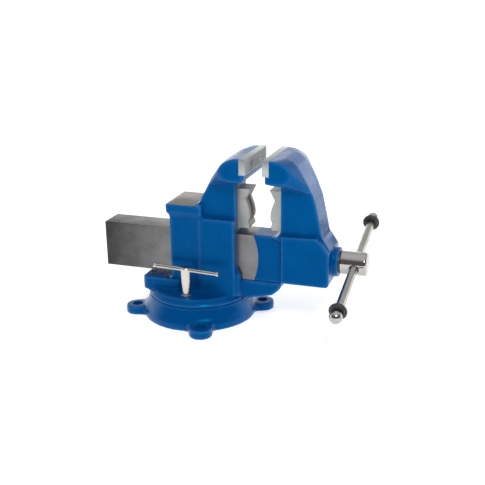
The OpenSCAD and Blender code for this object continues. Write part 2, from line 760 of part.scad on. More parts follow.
module handle_knob(way) {
    r = knob_d / 2;
    color(bright) on_handle() mirror([0, 0, way > 0 ? 0 : 1]) translate([0, 0, knob_x]) difference() {
        rotate_extrude() polygon(concat([[0, 0], [r - 2, 0], [r - 0.5, 1.5]],
            arc(0, knob_socket + 2.5, r, -25, 90, 12)));
        translate([0, 0, -cut]) cylinder(h = knob_socket + cut, d = handle_d + 2 * hair);
    }
}

module handle_knob_near() {
    handle_knob(-1);
}

module handle_knob_far() {
    handle_knob(1);
}

module bumper(way) {
    r = bumper_t / 2;
    color(rubber) on_handle() mirror([0, 0, way > 0 ? 0 : 1]) translate([0, 0, handle_span / 2]) rotate_extrude()
        polygon(concat([[handle_d / 2 + hair, -r + 1], [handle_d / 2 + 1.5, -r]],
            arc(bumper_d / 2 - r, 0, r, -90, 90, 10),
            [[handle_d / 2 + 1.5, r], [handle_d / 2 + hair, r - 1]]));
}

module bumper_near() {
    bumper(-1);
}

module bumper_far() {
    bumper(1);
}

// ---- swivel locks ----

lock_washer_t = 2;
lock_foot_z = flange_z + lock_boss_h + lock_washer_t;
lock_bar_z = lock_foot_z + lock_h - lock_bar_d / 2 - 1.2;

module at_locks() {
    for (side = [-1, 1]) translate([0, side * slot_r, 0]) children();
}

module lock_bolts() {
    head_z = base_h - slot_lid - lock_head_h - 0.5;
    color(steel) at_locks() union() {
        translate([0, 0, head_z + lock_head_h / 2]) cube([lock_head_w, lock_head_w - 2, lock_head_h], center = true);
        translate([0, 0, head_z]) cylinder(h = lock_foot_z + lock_h * 0.55 - head_z, d = lock_d);
    }
}

module lock_washers() {
    color(steel) at_locks() translate([0, 0, flange_z + lock_boss_h]) difference() {
        cylinder(h = lock_washer_t, d = lock_foot_d + 4);
        translate([0, 0, -cut]) cylinder(h = lock_washer_t + 2 * cut, d = lock_d + 2 * hair);
    }
}

module lock_nut(side) {
    color(bright) translate([0, side * slot_r, 0]) difference() {
        union() {
            translate([0, 0, lock_foot_z]) cylinder(h = lock_h * 0.75, r1 = lock_foot_d / 2, r2 = lock_top_d / 2);
            translate([0, 0, lock_foot_z + lock_h * 0.75]) cylinder(h = lock_h * 0.25 - 1.5, r = lock_top_d / 2);
            translate([0, 0, lock_foot_z + lock_h - 1.5]) cylinder(h = 1.5, r1 = lock_top_d / 2, r2 = lock_top_d / 2 - 1.5);
        }
        translate([0, 0, lock_foot_z - cut]) cylinder(h = lock_h * 0.6 + cut, d = lock_d + 2 * fit);
        translate([0, 0, lock_bar_z]) rotate([0, 90, -side * lock_turn]) translate([0, 0, -lock_top_d])
            cylinder(h = 2 * lock_top_d, d = lock_bar_d + 2 * fit);
    }
}

module lock_bar(side) {
    end_h = 4;
    color(bright) translate([0, side * slot_r, lock_bar_z]) rotate([0, 90, -side * lock_turn]) union() {
        translate([0, 0, -lock_bar_len / 2]) cylinder(h = lock_bar_len, d = lock_bar_d);
        for (end = [-lock_bar_len / 2, lock_bar_len / 2 - end_h])
            translate([0, 0, end]) cylinder(h = end_h, d = lock_bar_d + 1.6);
    }
}

module lock_nut_near() {
    lock_nut(-1);
}

module lock_nut_far() {
    lock_nut(1);
}

module lock_bar_near() {
    lock_bar(-1);
}

module lock_bar_far() {
    lock_bar(1);
}

swivel_base();
pivot_bolt();
pivot_washer();
pivot_nut();
fixed_jaw();
fixed_insert();
fixed_insert_screws();
fixed_pipe_jaw();
fixed_pipe_jaw_screw();
spindle_nut();
spindle_nut_bolt();
lock_bolts();
lock_washers();
lock_nut_near();
lock_nut_far();
lock_bar_near();
lock_bar_far();
moving_jaw();
moving_insert();
moving_insert_screws();
moving_pipe_jaw();
moving_pipe_jaw_screw();
spindle();
thrust_washer();
retaining_collar();
collar_pin();
handle_bar();
handle_knob_near();
handle_knob_far();
bumper_near();
bumper_far();
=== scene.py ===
import itertools
import json
import math

import bmesh
import bpy
import numpy as np
from mathutils import Matrix, Vector


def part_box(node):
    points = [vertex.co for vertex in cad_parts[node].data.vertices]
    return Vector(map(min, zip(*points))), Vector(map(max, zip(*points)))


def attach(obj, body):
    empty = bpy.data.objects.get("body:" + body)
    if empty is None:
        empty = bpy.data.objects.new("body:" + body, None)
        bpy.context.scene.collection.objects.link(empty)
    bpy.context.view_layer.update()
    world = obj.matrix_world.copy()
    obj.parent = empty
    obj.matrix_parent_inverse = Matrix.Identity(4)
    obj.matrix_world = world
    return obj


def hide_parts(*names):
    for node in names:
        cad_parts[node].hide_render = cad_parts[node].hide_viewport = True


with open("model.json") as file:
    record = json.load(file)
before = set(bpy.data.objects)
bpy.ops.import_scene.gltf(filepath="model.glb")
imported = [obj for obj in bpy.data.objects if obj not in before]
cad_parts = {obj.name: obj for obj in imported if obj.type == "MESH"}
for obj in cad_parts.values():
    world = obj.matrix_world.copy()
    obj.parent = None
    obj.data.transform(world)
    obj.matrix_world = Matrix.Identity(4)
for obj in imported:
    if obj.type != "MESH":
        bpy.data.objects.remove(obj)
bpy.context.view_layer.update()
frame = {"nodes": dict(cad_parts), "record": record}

# A bench vise in blue enamelled cast iron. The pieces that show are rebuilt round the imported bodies;
# those inside keep their CAD shape. Lengths are in metres, on the CAD's own axes.

MM = 0.001


# ---------------------------------------------------------------- camera

def place_camera():
    """The camera stands in front, a little to the handle's side and above the jaws."""
    turn, rise, roll = (math.radians(a) for a in (18.9, 18.9, -0.7))
    back = Vector((math.sin(turn) * math.cos(rise), -math.cos(turn) * math.cos(rise), math.sin(rise)))
    right = Vector((math.cos(turn), math.sin(turn), 0))
    up = back.cross(right)
    axes = (math.cos(roll) * right + math.sin(roll) * up, math.cos(roll) * up - math.sin(roll) * right, back)
    camera = bpy.data.objects.new("camera", bpy.data.cameras.new("camera"))
    camera.data.sensor_width = 36
    camera.data.lens = 61.0
    target, distance = Vector((0.0804, 0, 0.1329)), 1.402
    camera.matrix_world = Matrix.Translation(target + back * distance) @ Matrix(axes).transposed().to_4x4()
    bpy.context.collection.objects.link(camera)
    bpy.context.scene.camera = camera


place_camera()

# ---------------------------------------------------------------- sizes, taken from the CAD nodes

joints = {j["name"]: j for j in frame["record"]["behaviour"]["joints"]}


def ends(node, axis):
    low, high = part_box(node)
    return low[axis], high[axis]


seat_x, face_x = ends("fixed_insert", 0)
moving_face_x, moving_seat_x = ends("moving_insert", 0)
seat_z, jaw_z = ends("fixed_insert", 2)
jaw_half = ends("fixed_insert", 1)[1]
throat_x = ends("fixed_pipe_jaw", 0)[0]
moving_throat_x = ends("moving_pipe_jaw", 0)[1]
axis_z = joints["spindle_turn"]["pos_m"][2]
slide_rear = ends("moving_jaw", 0)[0]
base_seam = ends("fixed_jaw", 2)[0] - 0.2 * MM
boss_x, head_x = ends("thrust_washer", 0)
spindle_tip, spindle_end = ends("spindle", 0)
head_r = ends("spindle", 2)[1] - axis_z
lock_out = sum(ends("lock_nut_far", 1)) / 2
slide_low, slide_high, slide_half = axis_z - 40 * MM, axis_z + 40 * MM, 24 * MM
nut_half, nut_tall = 16.5 * MM, 20 * MM  # half sizes of the slide's hollow, round the spindle's nut
slot_half = 8.5 * MM  # the slot in the slide's underside, for the nut's foot
screw_y = 26 * MM
screw_z = (seat_z + jaw_z) / 2
pipe_low, pipe_top = ends("fixed_pipe_jaw", 2)
pipe_half = ends("fixed_pipe_jaw", 1)[1]
pipe_screw_z = sum(ends("fixed_pipe_jaw_screw", 2)) / 2
pipe_bore_z = 201.7 * MM  # the castings' own holes for it
screw_fill, screw_tap = 5 * MM, 3.1 * MM  # radii: a screw hole filled before smoothing, and cut again
run_out_r, run_out_x = 104 * MM, 12 * MM  # the arc where the slide's machining runs out
proud = 0.4 * MM  # paint and casting stand this far over the machined bar
seam_r = 88 * MM  # the rim between the turret and the base
lug_circle = 111 * MM
lugs = [(lug_circle * math.cos(a), lug_circle * math.sin(a)) for a in (math.radians(21.4 + 90 * k) for k in range(4))]


# ---------------------------------------------------------------- shader groups

def link(tree, source, target):
    tree.links.new(source, target)


def node(tree, kind, **settings):
    made = tree.nodes.new(kind)
    for name, value in settings.items():
        setattr(made, name, value)
    return made


def shade_group(name, inputs, outputs):
    """An empty shader group with named inputs and outputs, and its two end nodes."""
    tree = bpy.data.node_groups.new(name, "ShaderNodeTree")
    for title, kind, value in inputs:
        tree.interface.new_socket(title, in_out="INPUT", socket_type="NodeSocket" + kind).default_value = value
    for title, kind in outputs:
        tree.interface.new_socket(title, in_out="OUTPUT", socket_type="NodeSocket" + kind)
    return tree, node(tree, "NodeGroupInput"), node(tree, "NodeGroupOutput")


def put(tree, value, socket):
    """Links value to the socket if it is a socket too, or else sets it."""
    if isinstance(value, bpy.types.NodeSocket):
        link(tree, value, socket)
    else:
        socket.default_value = value


def wired(tree, kind, inputs, **settings):
    """The first output of a new node whose inputs, by name or number, are set or linked."""
    made = node(tree, kind, **settings)
    for key, value in inputs.items():
        put(tree, value, made.inputs[key])
    return made.outputs[0]


def calc(tree, operation, *operands, clamp=False):
    """A Math node; each operand is a number or a socket."""
    return wired(tree, "ShaderNodeMath", dict(enumerate(operands)), operation=operation, use_clamp=clamp)


def blend_colours(tree, share, a, b):
    """A Mix node for colours; share, a and b are values or sockets."""
    made = node(tree, "ShaderNodeMix", data_type="RGBA")
    for index, value in ((0, share), (6, a), (7, b)):
        put(tree, value, made.inputs[index])
    return made.outputs[2]


def stretch(tree, source, low, high, to_low=0.0, to_high=1.0):
    """A Map Range node, clamped."""
    return wired(tree, "ShaderNodeMapRange", dict(enumerate((source, low, high, to_low, to_high))))


def grain_noise(tree, vector, scale, detail=2.0, roughness=0.5):
    return wired(tree, "ShaderNodeTexNoise", {
        "Vector": vector, "Scale": scale, "Detail": detail, "Roughness": roughness})


def own_place(tree):
    """The place on the piece itself, so that the grain moves with it."""
    return node(tree, "ShaderNodeTexCoord").outputs["Object"]


def build_cast_skin():
    """Sand-cast unevenness: a slow swell, a fine pebble and a slow patchiness."""
    tree, given, out = shade_group(
        "cast skin",
        [("Swell", "Float", 60.0), ("Pebble", "Float", 900.0), ("Pebble share", "Float", 0.35)],
        [("Height", "Float"), ("Patches", "Float")])
    where = own_place(tree)
    swell = grain_noise(tree, where, given.outputs["Swell"], 3.0)
    pebble = grain_noise(tree, where, given.outputs["Pebble"], 2.0, 0.6)
    link(tree, calc(tree, "MULTIPLY_ADD", pebble, given.outputs["Pebble share"], swell), out.inputs["Height"])
    link(tree, grain_noise(tree, where, 28.0, 4.0, 0.55), out.inputs["Patches"])
    return tree


def build_cutter_marks():
    """Fine parallel marks of a mill or grinder, long along the axis whose scale is lowest."""
    tree, given, out = shade_group(
        "cutter marks",
        [("Marks", "Vector", (30.0, 1500.0, 1500.0)), ("Scratches", "Vector", (60.0, 3500.0, 3500.0))],
        [("Height", "Float"), ("Tone", "Float")])
    where = own_place(tree)
    heights = []
    for title in ("Marks", "Scratches"):
        scaled = wired(tree, "ShaderNodeVectorMath", {0: where, 1: given.outputs[title]}, operation="MULTIPLY")
        heights.append(grain_noise(tree, scaled, 1.0, 3.0, 0.6))
    both = calc(tree, "MULTIPLY_ADD", heights[1], 0.5, heights[0])
    link(tree, both, out.inputs["Height"])
    slow = grain_noise(tree, where, 35.0, 3.0)
    link(tree, calc(tree, "MULTIPLY_ADD", both, 0.4, slow), out.inputs["Tone"])
    return tree


def build_handling():
    """Thumb smears and a thin film of dust: slow patches, broken up."""
    tree, given, out = shade_group(
        "handling", [("Size", "Float", 45.0), ("Cover", "Float", 0.5)], [("Film", "Float")])
    where = own_place(tree)
    slow = grain_noise(tree, where, given.outputs["Size"], 5.0, 0.6)
    broken = grain_noise(tree, where, 420.0, 2.0)
    film = calc(tree, "MULTIPLY_ADD", broken, 0.3, slow)
    shifted = calc(tree, "ADD", film, calc(tree, "SUBTRACT", given.outputs["Cover"], 1.0))
    link(tree, stretch(tree, shifted, 0.0, 0.35), out.inputs["Film"])
    return tree


def build_edges():
    """The piece's own corners: its edge attribute split into ridges and hollows, broken up."""
    tree, given, out = shade_group(
        "edges", [("Softness", "Float", 1.0)], [("Ridge", "Float"), ("Hollow", "Float")])
    where = own_place(tree)
    corner = node(tree, "ShaderNodeAttribute", attribute_name="corner").outputs["Fac"]
    broken = grain_noise(tree, where, 220.0, 4.0, 0.65)
    ridge = calc(tree, "MULTIPLY", corner, calc(tree, "ADD", broken, 0.45))
    link(tree, calc(tree, "MULTIPLY", ridge, given.outputs["Softness"], clamp=True), out.inputs["Ridge"])
    link(tree, calc(tree, "MULTIPLY", corner, -1.0, clamp=True), out.inputs["Hollow"])
    return tree


GROUPS = {
    "skin": build_cast_skin(),
    "marks": build_cutter_marks(),
    "handling": build_handling(),
    "edges": build_edges(),
}


def use(tree, group, **values):
    made = node(tree, "ShaderNodeGroup", node_tree=GROUPS[group])
    for name, value in values.items():
        made.inputs[name.replace("_", " ")].default_value = value
    return made.outputs


# ---------------------------------------------------------------- finishes

def finish_base(name, **sockets):
    """A material with its Principled shader's plain sockets set, ready for its own nodes."""
    made = bpy.data.materials.new(name)
    made.use_nodes = True
    shader = made.node_tree.nodes["Principled BSDF"]
    for title, value in sockets.items():
        shader.inputs[title.replace("_", " ")].default_value = value
    made.diffuse_color = sockets.get("Base_Color", (0.5, 0.5, 0.5, 1))
    return made, made.node_tree, shader


def raise_bumps(tree, shader, height, depth, strength=1.0):
    bump = wired(tree, "ShaderNodeBump", {"Strength": strength, "Distance": depth, "Height": height})
    link(tree, bump, shader.inputs["Normal"])


def blue_enamel():
    made, tree, shader = finish_base("blue enamel", Roughness=0.3, IOR=1.5, Specular_Tint=(0.0, 0.45, 0.9, 1))
    skin = use(tree, "skin", Swell=70.0, Pebble=650.0, Pebble_share=0.5)
    edges = use(tree, "edges", Softness=1.0)
    film = use(tree, "handling", Size=30.0, Cover=0.42)["Film"]
    patchy = stretch(tree, skin["Patches"], 0.3, 0.7)
    body = blend_colours(tree, patchy, (0.0, 0.056, 0.225, 1), (0.0, 0.070, 0.262, 1))
    # painted shade: the enamel darkens in hollows and inside corners, where shade falls
    deep = blend_colours(tree, calc(tree, "MULTIPLY", edges["Hollow"], 0.75), body, (0.0, 0.03, 0.13, 1))
    # painted highlight: the enamel lightens along its ridges, as a gloss highlight would
    bright = blend_colours(tree, calc(tree, "MULTIPLY", edges["Ridge"], 0.7), deep, (0.03, 0.19, 0.50, 1))
    link(tree, bright, shader.inputs["Base Color"])
    rough = calc(tree, "MULTIPLY_ADD", film, 0.12, stretch(tree, skin["Patches"], 0.2, 0.8, 0.18, 0.28))
    link(tree, rough, shader.inputs["Roughness"])
    raise_bumps(tree, shader, skin["Height"], 0.35 * MM, 0.55)
    return made


def cut_metal(name, colour, shade, roughness, marks, scratches, depth, stain_share=0.15, painted_shade_from=None):
    """Bare metal as a machine leaves it; if two places along X are given, painted shade darkens it between them, for a
    reflection that dims towards one end.
    """
    made, tree, shader = finish_base(name, Metallic=1.0)
    cuts = use(tree, "marks", Marks=marks, Scratches=scratches)
    film = use(tree, "handling", Size=38.0, Cover=0.5)["Film"]
    tone = blend_colours(tree, stretch(tree, cuts["Tone"], 0.4, 1.0), shade, colour)
    edges = use(tree, "edges", Softness=1.2)
    # painted highlight: bare metal lightens along its ridges, as a gloss highlight would
    ridge_highlight = tuple(min(1.0, c * 1.5) for c in colour)
    lit = blend_colours(tree, calc(tree, "MULTIPLY", edges["Ridge"], 0.5), tone, ridge_highlight)
    dirty = blend_colours(tree, calc(tree, "MULTIPLY", film, stain_share), lit, (0.12, 0.09, 0.06, 1))
    # painted shade: darker towards one end along X, for the reflection that dims there; the handling film breaks it up
    # a little
    if painted_shade_from:
        along = wired(tree, "ShaderNodeSeparateXYZ", {0: own_place(tree)})
        rear_shade = calc(tree, "MULTIPLY_ADD", film, 0.1, stretch(tree, along, *painted_shade_from, 0.0, 0.8), clamp=True)
        dirty = blend_colours(tree, rear_shade, dirty, (0.03, 0.03, 0.032, 1))
    link(tree, dirty, shader.inputs["Base Color"])
    grooved = stretch(tree, cuts["Height"], 0.4, 1.1, roughness - 0.06, roughness + 0.06)
    rough = calc(tree, "MULTIPLY_ADD", film, 0.1, grooved)
    link(tree, rough, shader.inputs["Roughness"])
    raise_bumps(tree, shader, cuts["Height"], depth, 0.6)
    return made


def plated(name, colour, roughness, film_share=0.25):
    """Chrome or nickel plate: bright, faintly wavy, with smears."""
    made, tree, shader = finish_base(name, Metallic=1.0)
    film = use(tree, "handling", Size=55.0, Cover=0.45)["Film"]
    skin = use(tree, "skin", Swell=120.0, Pebble=1500.0, Pebble_share=0.15)
    link(tree, blend_colours(tree, calc(tree, "MULTIPLY", film, film_share), colour,
                             tuple(c * 0.7 for c in colour[:3]) + (1,)), shader.inputs["Base Color"])
    link(tree, calc(tree, "MULTIPLY_ADD", film, 0.12, roughness), shader.inputs["Roughness"])
    raise_bumps(tree, shader, skin["Height"], 0.12 * MM, 0.25)
    return made


def black_rubber():
    made, tree, shader = finish_base("black rubber", IOR=1.5)
    skin = use(tree, "skin", Swell=180.0, Pebble=2200.0, Pebble_share=0.8)
    film = use(tree, "handling", Size=60.0, Cover=0.55)["Film"]
    dusty = calc(tree, "MULTIPLY", film, 0.35)
    link(tree, blend_colours(tree, dusty, (0.022, 0.022, 0.023, 1), (0.07, 0.068, 0.065, 1)),
         shader.inputs["Base Color"])
    link(tree, stretch(tree, skin["Patches"], 0.2, 0.8, 0.42, 0.62), shader.inputs["Roughness"])
    raise_bumps(tree, shader, skin["Height"], 0.15 * MM, 0.5)
    return made


# the scales of two sets of marks: on metal polished every way, and on rough castings
POLISHED = ((500.0, 500.0, 500.0), (1800.0, 1800.0, 1800.0))
ROUGH = ((300.0, 300.0, 300.0), (1200.0, 1200.0, 1200.0))

enamel = blue_enamel()
# the machined bar gets painted shade towards its rear end, standing in for its dimming reflection
machined_iron = cut_metal("machined iron", (0.19, 0.19, 0.195, 1), (0.13, 0.13, 0.135, 1), 0.34,
                          (400.0, 400.0, 18.0), (1500.0, 1500.0, 40.0), 0.03 * MM, painted_shade_from=(-40 * MM, -160 * MM))
milled_iron = cut_metal("milled iron", (0.30, 0.295, 0.265, 1), (0.25, 0.245, 0.215, 1), 0.42,
                        (900.0, 40.0, 900.0), (2500.0, 90.0, 2500.0), 0.03 * MM)
ground_steel = cut_metal("ground steel", (0.36, 0.38, 0.385, 1), (0.28, 0.30, 0.305, 1), 0.34,
                         (700.0, 24.0, 700.0), (2600.0, 60.0, 2600.0), 0.02 * MM)
cast_steel = cut_metal("cast steel", (0.38, 0.39, 0.38, 1), (0.28, 0.29, 0.285, 1), 0.45, *ROUGH, 0.12 * MM)
fastener_steel = cut_metal("fastener steel", (0.42, 0.42, 0.43, 1), (0.30, 0.30, 0.31, 1), 0.35, *POLISHED, 0.02 * MM)
toothed_steel = cut_metal("toothed steel", (0.20, 0.20, 0.19, 1), (0.09, 0.09, 0.09, 1), 0.45, *ROUGH, 0.12 * MM,
                          stain_share=0.5)
oiled_steel = cut_metal("oiled steel", (0.16, 0.155, 0.15, 1), (0.09, 0.088, 0.085, 1), 0.30,
                        (200.0, 900.0, 900.0), (600.0, 2500.0, 2500.0), 0.02 * MM, stain_share=0.4)
bronze = cut_metal("oily bronze", (0.20, 0.14, 0.07, 1), (0.10, 0.07, 0.04, 1), 0.36, *POLISHED, 0.02 * MM,
                   stain_share=0.35)
handle_steel = cut_metal("handle steel", (0.44, 0.43, 0.40, 1), (0.34, 0.33, 0.31, 1), 0.22, *POLISHED, 0.03 * MM)
bar_steel = cut_metal("bar steel", (0.60, 0.59, 0.58, 1), (0.48, 0.47, 0.46, 1), 0.2, *POLISHED, 0.03 * MM)
chrome = plated("chrome plate", (0.46, 0.45, 0.44, 1), 0.06)
nickel = plated("nickel plate", (0.62, 0.59, 0.55, 1), 0.2, 0.2)
rubber = black_rubber()


# ---------------------------------------------------------------- mesh tools

def object_from(bm, name):
    mesh = bpy.data.meshes.new(name)
    bm.to_mesh(mesh)
    bm.free()
    made = bpy.data.objects.new(name, mesh)
    bpy.context.collection.objects.link(made)
    return made


def add_box(bm, low, high):
    corners = [bm.verts.new(place) for place in itertools.product(*zip(low, high))]
    for a, b, c, d in ((0, 1, 3, 2), (4, 6, 7, 5), (0, 4, 5, 1), (2, 3, 7, 6), (0, 2, 6, 4), (1, 5, 7, 3)):
        bm.faces.new([corners[i] for i in (a, b, c, d)])


def add_turned(bm, profile, base, along, steps=48):
    """A closed shape of turning: profile is (radius, distance along) pairs, from one end on the axis to the other."""
    along = Vector(along).normalized()
    side = along.orthogonal().normalized()
    other = along.cross(side)
    rings = []
    for r, h in profile:
        centre = Vector(base) + along * h
        if r <= 0:
            rings.append([bm.verts.new(centre)])
        else:
            rings.append([bm.verts.new(centre + r * (math.cos(t) * side + math.sin(t) * other))
                          for t in (2 * math.pi * i / steps for i in range(steps))])
    pairs = list(zip(rings, rings[1:]))
    if len(rings[0]) > 1 and len(rings[-1]) > 1:
        pairs.append((rings[-1], rings[0]))
    for a, b in pairs:
        for i in range(steps):
            j = (i + 1) % steps
            quad = [a[i % len(a)], a[j % len(a)], b[j % len(b)], b[i % len(b)]]
            bm.faces.new(list(dict.fromkeys(quad)))


def add_rod(bm, start, end, r, steps=48):
    way = Vector(end) - Vector(start)
    add_turned(bm, [(0, 0), (r, 0), (r, way.length), (0, way.length)], start, way, steps)


def curve_round(points, r, steps=5):
    """A profile with each marked corner rounded: points are (radius, height, round it or not)."""
    made = []
    for i, (x, y, round_it) in enumerate(points):
        if not round_it or i in (0, len(points) - 1):
            made.append((x, y))
            continue
        here = Vector((x, y))
        before, after = Vector(points[i - 1][:2]), Vector(points[i + 1][:2])
        reach = min(r, (before - here).length * 0.45, (after - here).length * 0.45)
        a, b = here + (before - here).normalized() * reach, here + (after - here).normalized() * reach
        for k in range(steps + 1):
            t = k / steps
            p = a * (1 - t) ** 2 + here * 2 * t * (1 - t) + b * t ** 2
            made.append((p.x, p.y))
    return made


def settle(bm):
    bmesh.ops.remove_doubles(bm, verts=bm.verts, dist=1e-7)
    bmesh.ops.recalc_face_normals(bm, faces=bm.faces)


def evaluated(obj):
    """The object's mesh with its modifiers applied; the modifiers go."""
    mesh = bpy.data.meshes.new_from_object(obj.evaluated_get(bpy.context.evaluated_depsgraph_get()))
    obj.modifiers.clear()
    old, obj.data = obj.data, mesh
    bpy.data.meshes.remove(old)
    mesh.name = obj.name
    return obj


def carve(obj, *cutters):
    """Takes each cutter out of obj."""
    for fill in cutters:
        bm = bmesh.new()
        fill(bm)
        settle(bm)
        tool = object_from(bm, "tool")
        cut = obj.modifiers.new("cut", "BOOLEAN")
        cut.operation, cut.solver, cut.object = "DIFFERENCE", "MANIFOLD", tool
        evaluated(obj)
        bpy.data.objects.remove(tool)
    return obj


def cast_copy(nodes, name, grid, fillers):
    """A merged copy of CAD nodes with its machined openings filled, rebuilt on an even grid."""
    bm = bmesh.new()
    for part in nodes:
        bm.from_mesh(frame["nodes"][part].data)
    bmesh.ops.remove_doubles(bm, verts=bm.verts, dist=1e-6)
    for fill in fillers:
        fill(bm)
    made = object_from(bm, name)
    regrid = made.modifiers.new("grid", "REMESH")
    regrid.mode, regrid.voxel_size = "VOXEL", grid
    return evaluated(made)


def rows(items, field):
    """A field of three numbers of each item, as an array with a row for each."""
    values = np.empty(len(items) * 3)
    items.foreach_get(field, values)
    return values.reshape(-1, 3)


def edge_ends(mesh):
    pairs = np.empty(len(mesh.edges) * 2, dtype=np.int64)
    mesh.edges.foreach_get("vertices", pairs)
    return pairs.reshape(-1, 2).T


def soften(obj, rounds, fillet_rounds, hold=None):
    """Rounds the corners as a casting's are; then fills the inside corners only, to a larger radius."""
    mesh = obj.data
    count = len(mesh.vertices)
    points = rows(mesh.vertices, "co")
    a, b = edge_ends(mesh)
    share = 1.0 / np.maximum(np.bincount(a, minlength=count) + np.bincount(b, minlength=count), 1)
    free = np.ones(count) if hold is None else 1.0 - hold(points)

    def pull(p):
        total = np.stack([np.bincount(a, p[b, k], count) + np.bincount(b, p[a, k], count) for k in range(3)], 1)
        return total * share[:, None] - p

    for _ in range(rounds):
        points += 0.5 * pull(points) * free[:, None]
    if fillet_rounds:
        mesh.vertices.foreach_set("co", points.ravel())
        mesh.update()
        out = rows(mesh.vertex_normals, "vector")
        for _ in range(fillet_rounds):
            outward = np.maximum((pull(points) * out).sum(1), 0)
            points += 0.6 * outward[:, None] * out * free[:, None]
        for _ in range(2):
            points += 0.5 * pull(points) * free[:, None]
    mesh.vertices.foreach_set("co", points.ravel())
    mesh.update()
    return obj


def mark_corners(obj, reach=3):
    """Stores how sharply the surface bends at each point: above 0 on ridges, below 0 in hollows."""
    mesh = obj.data
    count = len(mesh.vertices)
    points, out = rows(mesh.vertices, "co"), rows(mesh.vertex_normals, "vector")
    a, b = edge_ends(mesh)
    way = points[b] - points[a]
    way /= np.maximum(np.linalg.norm(way, axis=1), 1e-9)[:, None]
    valence = np.maximum(np.bincount(a, minlength=count) + np.bincount(b, minlength=count), 1)
    bend = (np.bincount(a, (way * out[a]).sum(1), count) - np.bincount(b, (way * out[b]).sum(1), count)) / valence
    bend = np.clip(-bend * 3.5, -1, 1)
    for _ in range(reach):
        bend = 0.5 * bend + 0.5 * (np.bincount(a, bend[b], count) + np.bincount(b, bend[a], count)) / valence
    mesh.attributes.new("corner", "FLOAT", "POINT").data.foreach_set("value", np.clip(bend * 2, -1, 1))
    return obj


def dress(obj, *finishes, sharp=38):
    """Gives obj its finishes and smooth shading with crisp edges."""
    obj.data.materials.clear()
    for finish in finishes:
        obj.data.materials.append(finish)
    obj.data.shade_smooth()
    obj.data.set_sharp_from_angle(angle=math.radians(sharp))
    return obj


def paint_faces(obj, index, choose):
    """Gives the faces that choose picks, by their middles and normals, the finish at index."""
    faces = obj.data.polygons
    slots = np.zeros(len(faces), dtype=np.int32)
    slots[choose(rows(faces, "center"), rows(faces, "normal"))] = index
    faces.foreach_set("material_index", slots)


def hand_over(obj, body, *stands_for):
    """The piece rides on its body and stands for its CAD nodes."""
    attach(obj, body)
    if stands_for:
        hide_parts(*stands_for)
    return obj


def box_tool(low, high):
    return lambda bm: add_box(bm, low, high)


def rod_tool(start, end, r, steps=48):
    return lambda bm: add_rod(bm, start, end, r, steps)


def turned_tool(profile, base, along, steps=64):
    return lambda bm: add_turned(bm, profile, base, along, steps)


def upright(x, y, z0, z1, r, steps=48):
    return rod_tool((x, y, z0), (x, y, z1), r, steps)


def lengthwise(x0, x1, y, z, r, steps=48):
    return rod_tool((x0, y, z), (x1, y, z), r, steps)


# ---------------------------------------------------------------- castings

def screw_holes(pipe_x, insert_x, r, steps=48):
    """Tools along X for the holes of a jaw's pipe jaw screw and of its two insert screws."""
    return [lengthwise(*pipe_x, 0, pipe_bore_z, r, steps),
            *[lengthwise(*insert_x, y, screw_z, r, steps) for y in (screw_y, -screw_y)]]


def cad_reach(part, pick):
    """Lowest and highest corner of those of a CAD node's points that pick chooses."""
    points = np.array([v.co for v in frame["nodes"][part].data.vertices])
    points = points[pick(*points.T)]
    return points.min(0), points.max(0)


def seam_groove(low, high):
    """Takes the rim's edge off at the seam between the turning part and the base."""
    inner, outer = seam_r - 1 * MM, seam_r + 12 * MM
    return turned_tool([(inner, low), (outer, low), (outer, high), (inner, high)], (0, 0, 0), (0, 0, 1), 192)


